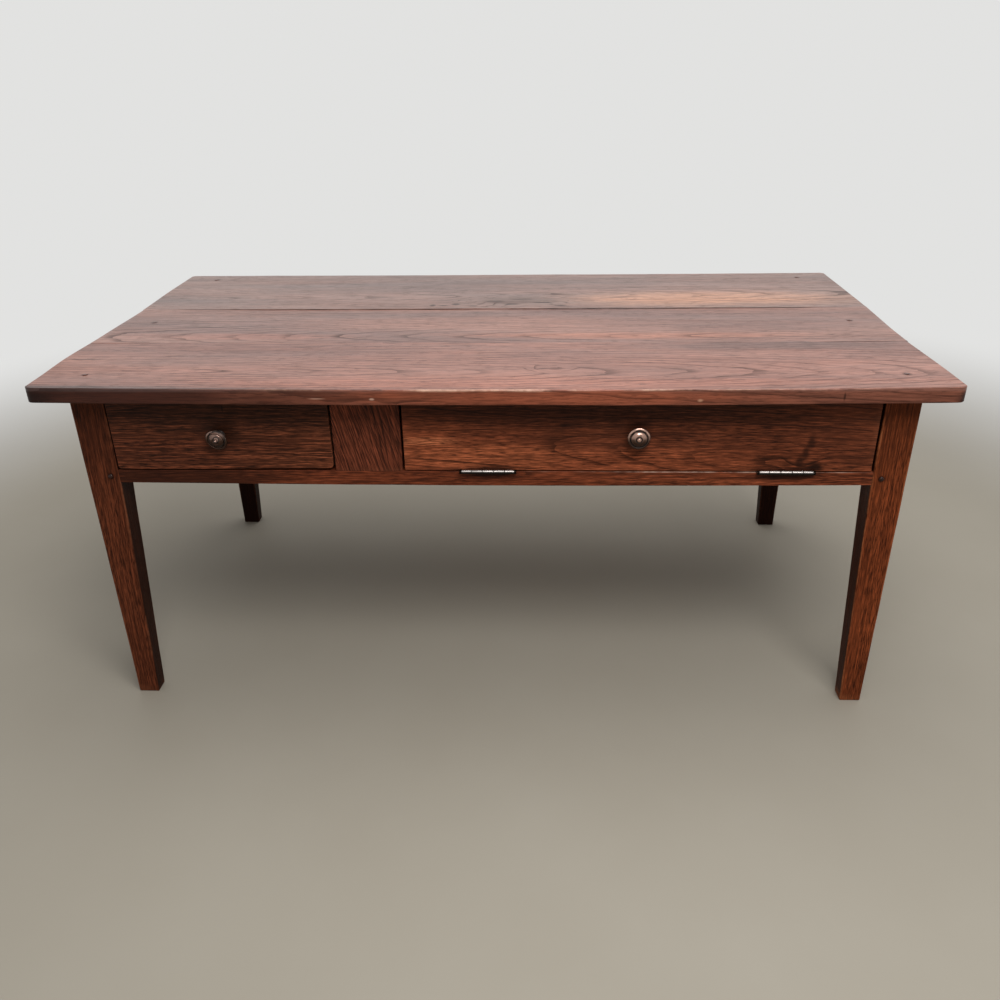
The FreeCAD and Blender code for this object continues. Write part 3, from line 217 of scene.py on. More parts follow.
def bumped(shader, height, strength, distance):
    bump = {"Strength": strength, "Distance": distance, "Height": height}
    outcome(height.tree, "ShaderNodeBump", bump).to(shader.inputs["Normal"])


def new_material(name):
    """A new material, its shader and the place on the object."""
    material = bpy.data.materials.new(name)
    material.use_nodes = True
    tree = material.node_tree
    place = add_node(tree, "ShaderNodeTexCoord").outputs["Object"]
    return material, tree.nodes["Principled BSDF"], Term(place)


def oak_material(name, grain, origin, colours, seed, pith=(0.0, 0.0, 0.05, 0.03), tilt_from=-9.0, wander=0.07,
                 ring_width=0.007, line_width=0.45, fineness=1.0, edge_fineness=None, slant=0.0, rough=0.45,
                 gloss=0.08, wax_above=None, rings=0.75, streaks=0.6, dashes=0.65, flecks=0.4, wear=0.25,
                 wear_and_highlight_at=None, painted_inner_shade=0.0, tints=(), spots=(), knots=()):
    """Stained oak. grain names the axes along the grain, across the face and out of it; colours are those of
    the light wood, the common wood, the ring lines and the worn arrises, which are partly a painted highlight
    where a place is given for them. A tint, which lies below the figure, and a spot, which lies on it, are a
    centre, a reach, a colour and a share; a knot is a centre, a reach and how far it swells the rings. A share
    of painted shade can darken the faces that look in under the table. Above a height that is given there is
    a film of wax."""
    material, shader, here = new_material(name)
    tree = here.tree
    parts = split(vector_maths("SUBTRACT", here, origin))
    turned = joined(*[parts["xyz".index(axis)] for axis in grain])
    turned = outcome(tree, "ShaderNodeVectorRotate", {"Vector": turned, "Angle": slant},
                     rotation_type="Z_AXIS")
    swell = 0.0
    for centre, reach, amount in knots:
        swell = spot_mask(here, centre, reach, 0.3) * amount + swell
    settings = (seed, *pith, tilt_from, wander, ring_width, line_width, swell, fineness,
                edge_fineness or fineness)
    figure = grouped(oak_figure, {"Vector": turned, **dict(zip(FIGURE_VALUES, settings))})
    light, common, dark, worn = (tone(*colour) for colour in colours)
    colour = laid_over(figure["Tone"], common, light)
    for centre, reach, tint, share in tints:
        colour = laid_over(spot_mask(here, centre, reach, 0.5) * share, colour, tone(*tint))
    colour = laid_over(figure["Streaks"] * streaks, colour, dark)
    colour = laid_over(figure["Dashes"] * dashes, colour, dark)
    brighter = vector_maths("MULTIPLY", colour, (2.0, 2.0, 2.0))
    colour = laid_over(figure["Flecks"] * flecks, colour, brighter)
    colour = laid_over(figure["Rings"] * rings, colour, dark)
    if painted_inner_shade:
        # painted shade: the faces that look in under the table are painted darker
        colour = laid_over(mesh_mask(tree, "painted_inner_shade") * painted_inner_shade, colour, dark)
    bare = 1.0
    for centre, reach, spot, share in spots:
        mask = spot_mask(here, centre, reach) * share
        colour = laid_over(mask, colour, tone(*spot))
        bare = (mask * -0.7 + 1.0) * bare
    colour = laid_over(figure["Pores"] * 0.5, colour, dark)
    brightened = grouped(worn_arris, {"Vector": here, "Arris": mesh_mask(tree, "arris")})["Wear"]
    # where a place is given, the pale arris colour is laid only there, as wear with a painted highlight
    if wear_and_highlight_at:
        brightened = brightened * spot_mask(here, *wear_and_highlight_at)
    laid_over(brightened * wear, colour, worn).to(shader.inputs["Base Color"])
    band = cloud(turned, (2.5, 26.0, 26.0), 3.0)
    eased(band, 0.3, 0.7, rough - 0.05, rough + 0.07).to(shader.inputs["Roughness"])
    low = figure["Streaks"] * 0.4 + figure["Pores"] + figure["Dashes"] + figure["Rings"] * 0.5
    bumped(shader, low * -1.0, 0.35, 0.0006)
    shader.inputs["Specular IOR Level"].default_value = gloss
    if wax_above is not None:
        # the wax lies thicker in some bands than in others, and thin on all that is dark and open
        film = eased(cloud(turned, (1.6, 15.0, 15.0), 3.0), 0.35, 0.65, 0.86, 1.0) * bare
        for mark, loss in (("Rings", 0.8), ("Dashes", 0.3), ("Streaks", 0.16)):
            film = film * (figure[mark] * -loss + 1.0)
        height = split(here)[2]
        film = film * eased(height, wax_above - 0.006, wax_above, 0.1, 1.0)
        film.to(shader.inputs["Coat Weight"])
        shader.inputs["Coat Roughness"].default_value = 0.34
    return material


# with no seed of its own, the noise that bends the boards would change from run to run
noise.seed_set(4)


def make_board(name, along, start, end, sides, ease=0.0016, corners=(0.0, 0.0, 0.0, 0.0), step=0.012,
               wander=0.0003, seed=0):
    """The mesh of a hand-worked piece of wood that runs along one axis, from start to end. sides(a) gives its
    low and high limits on the two other axes at the place a, ease rounds all its arrises, and corners rounds
    its ends on those four sides. wander is how far its faces stray from flat."""
    across, over = [axis for axis in range(3) if axis != along]
    length = end - start
    bend = [math.pi / 2 * k / 4 for k in range(5)]
    reach = max(ease, *corners)
    count = max(2, math.ceil(length / step))
    near_ends = {round(r * (1 - math.cos(b)), 7) for r in (ease, *corners) if r for b in bend}
    places = near_ends | {length - t for t in near_ends}
    places |= {length * k / count for k in range(1, count) if reach < length * k / count < length - reach}
    pieces = [max(1, round((high - low) / step)) for low, high in sides((start + end) / 2)]
    sown = Vector((17.3, 5.9, 11.1)) * seed

    def drawn_in(radius, near):
        return radius - math.sqrt(max(0.0, radius ** 2 - (radius - near) ** 2)) if near < radius else 0.0

    points, worn = [], []
    for t in sorted(places):
        near = min(t, length - t)
        end_ease = drawn_in(ease, near)
        inset = [max(end_ease, drawn_in(corner, near)) for corner in corners]
        (low_a, high_a), (low_o, high_o) = sides(start + t)
        low_a, high_a = low_a + inset[0], high_a - inset[1]
        low_o, high_o = low_o + inset[2], high_o - inset[3]
        uneven = 0.75 + 0.5 * noise.noise(Vector((t * 6.0, seed * 3.7, 0.0)) + sown)
        edges = ((high_a, high_o, 1, 1), (low_a, high_o, -1, 1),
                 (low_a, low_o, -1, -1), (high_a, low_o, 1, -1))
        arcs = []
        for k, (a, o, to_a, to_o) in enumerate(edges):
            # the arris is not the same all along, and each of the four has its own wear
            radius = ease * (uneven + 0.35 * noise.noise(Vector((t * 15.0, k * 9.1, seed * 1.3))))
            radius = max(0.3 * ease, min(1.6 * ease, radius))
            radius = max(radius * (1 - end_ease / ease), 0.00004)
            turns = [math.pi / 2 * k + b for b in bend]
            middle_a, middle_o = a - to_a * radius, o - to_o * radius
            arcs.append([(middle_a + radius * math.cos(turn), middle_o + radius * math.sin(turn))
                         for turn in turns])
        ring, marks = [], []
        for k, arc in enumerate(arcs):
            ring += arc
            marks += [1.0] * len(arc)
            (a, o), (next_a, next_o) = arc[-1], arcs[(k + 1) % 4][0]
            side = math.hypot(next_a - a, next_o - o)
            hold = min(0.25, 0.7 * ease / side)
            cuts = pieces[k % 2]
            shares = [hold] + [hold + (1 - 2 * hold) * i / cuts for i in range(1, cuts)] + [1 - hold]
            ring += [(a + (next_a - a) * s, o + (next_o - o) * s) for s in shares]
            marks += [0.0] * len(shares)
        for a, o in ring:
            place = Vector((0.0, 0.0, 0.0))
            place[along], place[across], place[over] = start + t, a, o
            place += wander * noise.noise_vector(place * 1.7 + sown)
            place += 0.35 * wander * noise.noise_vector(place * 15.0 + sown)
            points.append(place)
        worn += [1.0] * len(ring) if near < 1.1 * ease else marks
    size = len(ring)
    faces = []
    for r in range(0, len(points) - size, size):
        for i in range(size):
            j = (i + 1) % size
            faces.append((r + i, r + j, r + size + j, r + size + i))
    caps = [tuple(reversed(range(size))), tuple(range(len(points) - size, len(points)))]
    mesh = bpy.data.meshes.new(name)
    mesh.from_pydata(points, [], faces + caps)
    mesh.attributes.new("arris", "FLOAT", "POINT").data.foreach_set("value", worn)
    work = bmesh.new()
    work.from_mesh(mesh)
    bmesh.ops.recalc_face_normals(work, faces=work.faces)
    for face in work.faces:
        face.smooth = len(face.verts) == 4
    work.to_mesh(mesh)
    work.free()
    return mesh


def add_piece(name, mesh, body, material, nodes):
    """A finished piece of the table: its material, the body it rides on and the nodes that it stands for."""
    piece = bpy.data.objects.new(name, mesh)
    bpy.context.collection.objects.link(piece)
    if material:
        mesh.materials.clear()
        mesh.materials.append(material)
    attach(piece, body)
    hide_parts(*nodes)
    return piece


LEG_SHOULDER = 0.526
FOOT_WIDTH, FOOT_DEPTH = 0.044, 0.034
LEG_COLOURS = {
    "front_left_leg": ((120, 63, 40), (92, 45, 28), (28, 13, 8), (140, 84, 58)),
    "front_right_leg": ((156, 79, 44), (118, 56, 30), (40, 18, 10), (176, 104, 66)),
    # the rear legs are painted darker than the front ones, as painted shade under the table
    "rear_left_leg": ((96, 51, 34), (72, 36, 24), (20, 9, 6), (118, 70, 48)),
    "rear_right_leg": ((100, 53, 35), (76, 38, 25), (20, 9, 6), (122, 73, 50)),
}
# the dark ring round the peg in each front leg
PEG_STAINS = [((x, -0.42, 0.5395), (0.0085, 0.02, 0.0085), (14, 7, 4), 0.95) for x in (-0.757, 0.757)]
for seed, (leg, colours) in enumerate(LEG_COLOURS.items(), 3):
    low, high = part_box(leg)
    to_right, to_back = "right" in leg, "rear" in leg

    def leg_sides(z):
        taper = min(1.0, max(0.0, (LEG_SHOULDER - z) / LEG_SHOULDER))
        width = (high.x - low.x) + (FOOT_WIDTH - (high.x - low.x)) * taper
        deep = (high.y - low.y) + (FOOT_DEPTH - (high.y - low.y)) * taper
        return ((high.x - width, high.x) if to_right else (low.x, low.x + width),
                (high.y - deep, high.y) if to_back else (low.y, low.y + deep))

    mesh = make_board(leg, 2, low.z, high.z, leg_sides, ease=0.0024, step=0.022, wander=0.0005, seed=seed)
    inward = Vector((-1 if to_right else 1, -1 if to_back else 1))
    inward_shade = [max(0.0, inward.x * vert.normal.x, inward.y * vert.normal.y) ** 2 for vert in mesh.vertices]
    mesh.attributes.new("painted_inner_shade", "FLOAT", "POINT").data.foreach_set("value", inward_shade)
    head = ((low.x + high.x) / 2, (low.y + high.y) / 2, high.z)
    leg_oak = oak_material(
        leg, "zxy", (low + high) / 2, colours, seed, pith=(0.12, 0.02, 0.16, 0.03), ring_width=0.006,
        fineness=1.6, slant=0.03 * (-1) ** seed, rings=0.5, streaks=0.47, dashes=0.72, gloss=0.05, painted_inner_shade=0.85,
        # painted shade: each leg is darker towards its head, under the top
        wear=0.9, tints=[(head, (0.2, 0.2, 0.26), colours[2], 0.5)], spots=PEG_STAINS)
    add_piece(leg + "_worn", mesh, "frame", leg_oak, [leg])

# Rails
# The front rail lies below the drawer and the flap; the rear and side rails are deep boards that close the
# frame. All are oak, stained like the legs, tenoned into them and held by pegs.

FRONT_RAIL_COLOURS = ((158, 83, 53), (126, 63, 39), (44, 20, 12), (212, 176, 156))
RAIL_SAG = 0.004
# how far the shoulders of a rail's tenons are let into the legs
LET_IN = 0.0006
front_leg, back_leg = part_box("front_left_leg"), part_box("rear_left_leg")
rail_end = -front_leg[1].x + LET_IN

low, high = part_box("front_rail")


def front_rail_sides(x):
    # the lower edge hangs a little in the middle
    return (low.y, high.y), (low.z - RAIL_SAG * (1 - (x / front_leg[1].x) ** 2), high.z)


mesh = make_board("front_rail", 0, -rail_end, rail_end, front_rail_sides, ease=0.0014, step=0.02, seed=11)
rail_oak = oak_material(
    "front_rail", "xzy", (0.0, low.y, (low.z + high.z) / 2), FRONT_RAIL_COLOURS, 11,
    pith=(0.05, 0.02, 0.12, 0.04), ring_width=0.005, rings=0.6, fineness=1.5, wear=0.9,
    # a pale line along the top front arris, partly wear and partly a painted highlight
    wear_and_highlight_at=((0.44, low.y, high.z), (0.42, 0.006, 0.004)), tints=[
        ((-0.62, low.y, 0.54), (0.34, 0.1, 0.05), (54, 27, 17), 0.9)], spots=[
        # dark patches round the hinge barrels, partly grime and partly painted shade below the barrels
        ((-0.0075, low.y, 0.550), (0.085, 0.05, 0.018), (22, 11, 7), 0.85),
        ((0.5775, low.y, 0.550), (0.085, 0.05, 0.018), (22, 11, 7), 0.85)])
add_piece("front_rail_worn", mesh, "frame", rail_oak, ["front_rail"])


def straight_sides(low, high, along):
    """The limits of a straight board, the same at every place along it."""
    limits = [(low[axis], high[axis]) for axis in range(3) if axis != along]
    return lambda place: limits


DEEP_RAIL_COLOURS = ((142, 78, 52), (114, 59, 38), (50, 24, 15), (156, 98, 70))
side_ends = (front_leg[1].y - LET_IN, back_leg[0].y + LET_IN)
DEEP_RAILS = {
    # the axis that a rail runs along, its ends, its grain and its pith
    "rear_rail": (0, (-rail_end, rail_end), "xzy", (0.01, 0.02, 0.05, -0.035)),
    "left_side_rail": (1, side_ends, "yzx", (-0.01, 0.03, 0.05, 0.05)),
    "right_side_rail": (1, side_ends, "yzx", (-0.01, 0.03, 0.05, 0.05)),
}
for seed, (rail, (along, ends, grain, pith)) in enumerate(DEEP_RAILS.items(), 12):
    low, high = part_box(rail)
    mesh = make_board(rail, along, *ends, straight_sides(low, high, along), step=0.03, wander=0.0005,
                      seed=seed)
    origin = Vector((0.0, 0.0, (low.z + high.z) / 2))
    outward = 1 - along
    origin[outward] = high[outward] if high[outward] > 0 else low[outward]
    rail_oak = oak_material(rail, grain, origin, DEEP_RAIL_COLOURS, seed, pith=pith)
    add_piece(rail + "_worn", mesh, "frame", rail_oak, [rail])

# Front stile
# The broad upright board between the drawer and the flap, tenoned into the front rail.
# Its grain stands upright and leans a little.

low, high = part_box("front_stile")
rail_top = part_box("front_rail")[1].z
# how far the shoulder of its tenon is let into the rail
STILE_LET_IN = 0.0004
mesh = make_board("front_stile", 2, rail_top - STILE_LET_IN, high.z, straight_sides(low, high, 2),
                  ease=0.0013, seed=15)
stile_oak = oak_material(
    "front_stile", "zxy", ((low.x + high.x) / 2, low.y, 0.63),
    ((146, 77, 53), (114, 58, 39), (20, 9, 6), (128, 78, 56)), 15, pith=(0.08, 0.0, 0.10, 0.05), wander=0.02,
    ring_width=0.0043, fineness=1.5, slant=0.26, rings=0.95)
add_piece("front_stile_worn", mesh, "frame", stile_oak, ["front_stile"])

# Inside the frame
# The partition, the drawer's box and what it runs on, the compartment's floor and the flap's stops.
# They are plain sawn oak that was never stained, gone grey-brown with age and dust.

INNER_COLOURS = ((158, 122, 88), (134, 100, 70), (98, 70, 48), (170, 136, 102))
INSIDE = {
    # the grain, the seed, the spots and the nodes of each kind of board
    "inner_oak_lengthwise": ("xzy", 21, (), [
        "drawer_stops", "front_floor_cleat", "rear_floor_cleat", "flap_stops", "drawer_back",
        "drawer_bottom"]),
    "inner_oak_crosswise": ("yxz", 22, (), [
        "partition", "left_drawer_runner", "right_drawer_runner", "drawer_guide", "left_drawer_kicker",
        "right_drawer_kicker", *[f"floor_board_{n}" for n in range(1, 6)]]),
    # painted shade: the front ends of the sides, seen through the gaps beside the drawer's front, are painted
    # near black
    "drawer_side_oak": ("yxz", 23, [((-0.52, -0.42, 0.63), (1.2, 0.055, 0.4), (16, 8, 5), 0.98)], [
        "drawer_left_side", "drawer_right_side"]),
}
for name, (grain, seed, spots, nodes) in INSIDE.items():
    inner_oak = oak_material(name, grain, (0.0, 0.0, 0.55), INNER_COLOURS, seed, rough=0.7,
                             pith=(0.1, 0.0, 0.2, 0.03), rings=0.5, spots=spots)
    for node in nodes:
        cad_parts[node].data.materials[0] = inner_oak

# Rail pegs
# Riven oak pegs driven through the legs into the tenons of the rails: one in front at each side, two at each
# joint of the deep rails. Their heads are cut by hand, so none is quite round, and grime darkens them.


def new_geometry_tree(name, inputs):
    """An empty geometry tree that takes points, a seed, an unevenness, a material and the inputs named."""
    common = {"Seed": "Int", "Unevenness": "Float", "Material": "Material"}
    return new_tree("GeometryNodeTree", name, {"Geometry": "Geometry", **inputs, **common},
                    {"Geometry": "Geometry"})


def moved(shape, **change):
    """A shape that is moved by a Translation or stretched by a Scale."""
    return outcome(shape.tree, "GeometryNodeTransform", {"Geometry": shape, **change})


def finish_tree(given, shapes, found):
    """Sets the joined shapes on every point, their Z axis turned the way the point faces and spun by chance,
    and makes them solid."""
    tree = tree_of(shapes)
    whole = add_node(tree, "GeometryNodeJoinGeometry")
    for shape in shapes:
        shape.to(whole.inputs[0])
    facing = outcome(tree, "GeometryNodeInputNamedAttribute", {"Name": "facing"}, data_type="FLOAT_VECTOR")
    aligned = outcome(tree, "FunctionNodeAlignRotationToVector", {"Vector": facing}, axis="Z")
    spin = outcome(tree, "FunctionNodeRandomValue", {"Min": 0.0, "Max": 6.283, "Seed": given["Seed"]},
                   data_type="FLOAT")
    spun = outcome(tree, "FunctionNodeAxisAngleToRotation", {"Axis": (0.0, 0.0, 1.0), "Angle": spin})
    turned = outcome(tree, "FunctionNodeRotateRotation", {0: aligned, 1: spun}, rotation_space="LOCAL")
    copies = outcome(tree, "GeometryNodeInstanceOnPoints", {
        "Points": given["Geometry"], "Instance": Term(whole.outputs[0]), "Rotation": turned})
    solid = outcome(tree, "GeometryNodeRealizeInstances", {0: copies})
    rough = Term(add_node(tree, "ShaderNodeTexNoise", {"Scale": 130.0, "Detail": 2.0}).outputs["Color"])
    stray = scaled(vector_maths("SUBTRACT", rough, (0.5, 0.5, 0.5)), given["Unevenness"])
    solid = outcome(tree, "GeometryNodeSetPosition", {"Geometry": solid, "Offset": stray})
    done = outcome(tree, "GeometryNodeSetMaterial", {"Geometry": solid, "Material": given["Material"]})
    done.to(found["Geometry"])


def grow(name, tree, points, inputs):
    """The plain mesh that a geometry tree makes from a list of points, each a place and the way it faces."""
    seeds = bpy.data.meshes.new(name + "_points")
    seeds.from_pydata([place for place, facing in points], [], [])
    ways = [part for place, facing in points for part in facing]
    seeds.attributes.new("facing", "FLOAT_VECTOR", "POINT").data.foreach_set("vector", ways)
    holder = bpy.data.objects.new(name + "_points", seeds)
    bpy.context.collection.objects.link(holder)
    modifier = holder.modifiers.new(name, "NODES")
    modifier.node_group = tree
    for item in tree.interface.items_tree:
        if item.in_out == "INPUT" and item.name in inputs:
            modifier[item.identifier] = inputs[item.name]
    view = bpy.context.evaluated_depsgraph_get()
    mesh = bpy.data.meshes.new_from_object(holder.evaluated_get(view))
    holder.modifiers.remove(modifier)
    bpy.data.objects.remove(holder)
    mesh.name = name
    return mesh


peg_tree, given, found = new_geometry_tree(
    "riven_pegs", {"Radius": "Float", "Length": "Float", "Proud": "Float"})
shank_length = given["Length"] - given["Proud"]
shank = outcome(peg_tree, "GeometryNodeMeshCylinder", {
    "Vertices": 18, "Side Segments": 1, "Radius": given["Radius"], "Depth": shank_length})
shank = moved(shank, Translation=joined(0.0, 0.0, shank_length * -0.5))
head = outcome(peg_tree, "GeometryNodeMeshUVSphere", {"Segments": 18, "Rings": 10, "Radius": given["Radius"]})
head = moved(head, Scale=joined(1.0, 1.0, given["Proud"] / given["Radius"]))
head = outcome(peg_tree, "GeometryNodeSetShadeSmooth", {"Geometry": head})
finish_tree(given, (head, shank), found)


def merged(node):
    """A copy of a node's mesh in one piece, to be worked on."""
    work = bmesh.new()
    work.from_mesh(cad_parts[node].data)
    bmesh.ops.remove_doubles(work, verts=work.verts, dist=1e-6)
    return work


def loose_solids(node):
    """The lowest and highest corners of the separate solids that one node holds."""
    work = merged(node)
    left, solids = set(work.verts), []
    while left:
        group, edge = set(), [left.pop()]
        while edge:
            vert = edge.pop()
            group.add(vert)
            for link in vert.link_edges:
                other = link.other_vert(vert)
                if other in left:
                    left.discard(other)
                    edge.append(other)
        ranges = [sorted(vert.co[i] for vert in group) for i in range(3)]
        solids.append(tuple(Vector([places[end] for places in ranges]) for end in (0, -1)))
    work.free()
    return sorted(solids, key=lambda solid: tuple(solid[0]))


def face_middle(solid, facing):
    """The middle of the face of a solid's box that looks the given way."""
    low, high = solid
    return [high[i] if facing[i] > 0 else low[i] if facing[i] < 0 else (low[i] + high[i]) / 2
            for i in range(3)]


PEG_COLOURS = ((62, 30, 19), (46, 22, 14), (20, 10, 6), (90, 54, 38))
peg_oak = oak_material("peg_oak", "xzy", (0.0, 0.0, 0.5), PEG_COLOURS, 31, ring_width=0.002, rings=0.5,
                       rough=0.15, gloss=0.22)
PEG_ROWS = {
    # the way that the heads look, and how far they stand out
    "front_rail_pegs": ((0, -1, 0), 0.0032),
    "rear_rail_pegs": ((0, 1, 0), 0.0008),
    "left_rail_pegs": ((-1, 0, 0), 0.0008),
    "right_rail_pegs": ((1, 0, 0), 0.0008),
}
for seed, (node, (facing, proud)) in enumerate(PEG_ROWS.items(), 1):
    points = [(face_middle(solid, facing), facing) for solid in loose_solids(node)]
    mesh = grow(node, peg_tree, points, {
        "Radius": 0.0051, "Length": 0.040, "Proud": proud, "Seed": seed, "Unevenness": 0.0006,
        "Material": peg_oak})
    add_piece(node + "_riven", mesh, "frame", None, [node])

# Top
# Three long oak boards side by side, pegged down on the frame. The wood is stained, waxed and worn pale by
# use; the seams have opened a little, the ends have moved out of line and the front arris is rubbed bright,
# with a painted highlight along it.

TOP_COLOURS = {
    "top_front_board": ((158, 98, 77), (122, 71, 55), (44, 23, 17), (214, 170, 144)),
    "top_middle_board": ((151, 96, 76), (114, 68, 54), (44, 25, 19), (200, 160, 138)),
    "top_rear_board": ((138, 92, 75), (102, 65, 53), (42, 26, 21), (190, 152, 134)),
}
TOP_CORNER = 0.014
TOP_SAG, REAR_SHARE, TOP_SWELL = 0.003, 0.4, 0.006
SEAM_GAPE, SEAM_STRAY, SEAM_SPLIT = 0.0007, 0.0004, 0.0018
# how far the ends of the top swing in and out, and how far along the boards that is felt
LEFT_HOLLOW, LEFT_PROUD, RIGHT_HOLLOW, SWING_REACH = 0.0045, 0.0050, 0.0075, 0.25
TOP_BOARDS = {
    # how far each end stands out, the pith, the tints, the spots and the knots
    "top_front_board": (0.0004, -0.0006, (-0.046, 0.0, 0.060, 0.075), [
        ((-0.87, -0.462, 0.722), (0.78, 0.022, 0.12), (52, 20, 11), 0.86),
        ((0.10, -0.466, 0.722), (0.55, 0.012, 0.03), (176, 92, 62), 0.6),
        ((0.0, -0.43, 0.74), (0.9, 0.05, 0.02), (172, 96, 68), 0.5),
        ((0.55, -0.20, 0.74), (0.40, 0.045, 0.02), (84, 52, 44), 0.6),
        ((-0.55, -0.30, 0.74), (0.35, 0.05, 0.02), (88, 56, 48), 0.4)], [
        ((0.128, -0.345, 0.74), (0.020, 0.012, 0.02), (70, 36, 27), 0.6),
        ((0.105, -0.345, 0.74), (0.018, 0.003, 0.02), (26, 13, 9), 0.85),
        ((-0.83, -0.288, 0.74), (0.06, 0.0026, 0.03), (14, 7, 5), 1.0),
        ((-0.315, -0.463, 0.720), (0.020, 0.02, 0.002), (186, 140, 118), 0.8),
        ((-0.211, -0.463, 0.719), (0.006, 0.02, 0.003), (200, 160, 140), 0.9),
        ((0.388, -0.463, 0.717), (0.007, 0.02, 0.004), (190, 140, 112), 0.9),
        ((0.646, -0.462, 0.724), (0.0028, 0.02, 0.012), (36, 18, 12), 0.7),
        ((-0.890, -0.458, 0.714), (0.110, 0.03, 0.040), (22, 10, 6), 0.8),
        ((0.870, -0.455, 0.715), (0.030, 0.04, 0.035), (24, 11, 7), 0.85)],
        [((0.12, -0.345, 0.74), (0.06, 0.03, 0.05), 0.014)]),
    "top_middle_board": (-0.0008, 0.0007, (-0.09, 0.0, 0.060, -0.075), [
        ((0.30, -0.120, 0.74), (0.55, 0.035, 0.02), (180, 106, 74), 0.7),
        ((-0.55, -0.125, 0.74), (0.35, 0.03, 0.02), (160, 88, 62), 0.5),
        ((-0.30, 0.05, 0.74), (0.5, 0.05, 0.02), (88, 54, 45), 0.5)], [
        ((-0.66, -0.055, 0.74), (0.10, 0.005, 0.02), (40, 20, 15), 0.6)], []),
    "top_rear_board": (0.0006, 0.0002, (-0.06, 0.02, 0.060, 0.06), [
        ((0.50, 0.186, 0.74), (0.50, 0.100, 0.02), (196, 134, 98), 0.95),
        ((0.04, 0.175, 0.74), (0.22, 0.075, 0.03), (108, 72, 57), 0.8)], [
        ((0.04, 0.165, 0.74), (0.13, 0.030, 0.03), (78, 50, 39), 0.4),
        ((-0.160, 0.130, 0.74), (0.011, 0.014, 0.03), (22, 12, 9), 0.8),
        ((-0.105, 0.140, 0.74), (0.012, 0.014, 0.03), (24, 13, 10), 0.7),
        ((-0.010, 0.168, 0.74), (0.030, 0.010, 0.03), (30, 18, 14), 0.6),
        ((0.060, 0.190, 0.74), (0.040, 0.012, 0.03), (40, 24, 19), 0.5),
        ((0.150, 0.128, 0.74), (0.020, 0.010, 0.03), (24, 13, 10), 0.7),
        ((0.03, 0.140, 0.74), (0.025, 0.007, 0.03), (22, 12, 9), 0.75),
        ((0.10, 0.155, 0.74), (0.035, 0.006, 0.03), (26, 14, 10), 0.7),
        ((-0.135, 0.128, 0.74), (0.02, 0.008, 0.03), (20, 10, 8), 0.8),
        ((-0.06, 0.124, 0.74), (0.018, 0.007, 0.03), (20, 10, 8), 0.8)],
        [((0.05, 0.172, 0.74), (0.19, 0.075, 0.05), 0.030)]),
}
PEG_PLACES = {"top_front_board": (0.781, -0.384), "top_middle_board": (0.789, -0.015),
              "top_rear_board": (0.781, 0.408)}


def hump(place, middle, reach):
    """One at the middle, falling away smoothly on both sides."""
    return math.exp(-((place - middle) / reach) ** 2)


for seed, (board, (left_out, right_out, pith, tints, spots, knots)) in enumerate(TOP_BOARDS.items(), 41):
    low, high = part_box(board)
    front, rear = board == "top_front_board", board == "top_rear_board"

    def top_sides(x):
        # a seam runs like a hand-planed joint does, and the rear one gapes beside the knot
        gape = SEAM_GAPE + SEAM_STRAY * noise.noise(Vector((x * 4.0, 2.0 + seed, 0.0)))
        split_wide = SEAM_SPLIT * hump(x, -0.03, 0.13) if rear else 0.0
        middle = 1 - (x / high.x) ** 2
        sag = TOP_SAG * middle * (REAR_SHARE if rear else 1.0)
        return ((low.y - TOP_SWELL * middle if front else low.y + gape + split_wide,
                 high.y - (0.0 if rear else gape)), (low.z - sag, high.z - sag))

    mesh = make_board(board, 0, low.x - left_out, high.x + right_out, top_sides, ease=0.0026,
                      corners=(TOP_CORNER if front else 0.0, TOP_CORNER if rear else 0.0, 0.0, 0.0),
                      wander=0.0007, seed=seed)
    # the ends were sawn by eye, so their line swings in and out
    for vert in mesh.vertices:
        near_end = max(0.0, 1 - (high.x - abs(vert.co.x)) / SWING_REACH)
        if vert.co.x < 0:
            vert.co.x += near_end * (LEFT_HOLLOW * hump(vert.co.y, 0.08, 0.13)
                                     - LEFT_PROUD * hump(vert.co.y, -0.28, 0.09))
        else:
            vert.co.x -= near_end * RIGHT_HOLLOW * hump(vert.co.y, -0.12, 0.17)
    peg_x, peg_y = PEG_PLACES[board]
    stains = [((x, peg_y, 0.74), (0.011, 0.011, 0.03), (40, 20, 15), 0.7) for x in (-peg_x, peg_x)]
    # dirt lies in the seams
    seams = ([] if front else [low.y]) + ([] if rear else [high.y])
    stains += [((0.20, seam, 0.738), (1.5, 0.0036, 0.02), (16, 10, 8), 0.95) for seam in seams]
    top_oak = oak_material(
        board, "xyz", (0.0, (low.y + high.y) / 2, high.z), TOP_COLOURS[board], seed, pith=pith, wander=0.03,
        ring_width=0.0105, line_width=0.3, fineness=0.75, edge_fineness=1.1, gloss=0.12, wax_above=0.736,
        rings=0.9, streaks=0.32, dashes=0.35, flecks=0.06, wear=0.9, tints=tints, spots=spots + stains,
        # the pale front arris is partly wear and partly a painted highlight
        wear_and_highlight_at=((0.22, -0.465, 0.738), (0.85, 0.012, 0.012)), knots=knots)
    add_piece(board + "_worn", mesh, "frame", top_oak, [board])

# Top pegs
# Six riven oak pegs that hold the boards of the top to the legs and side rails, planed off flush.

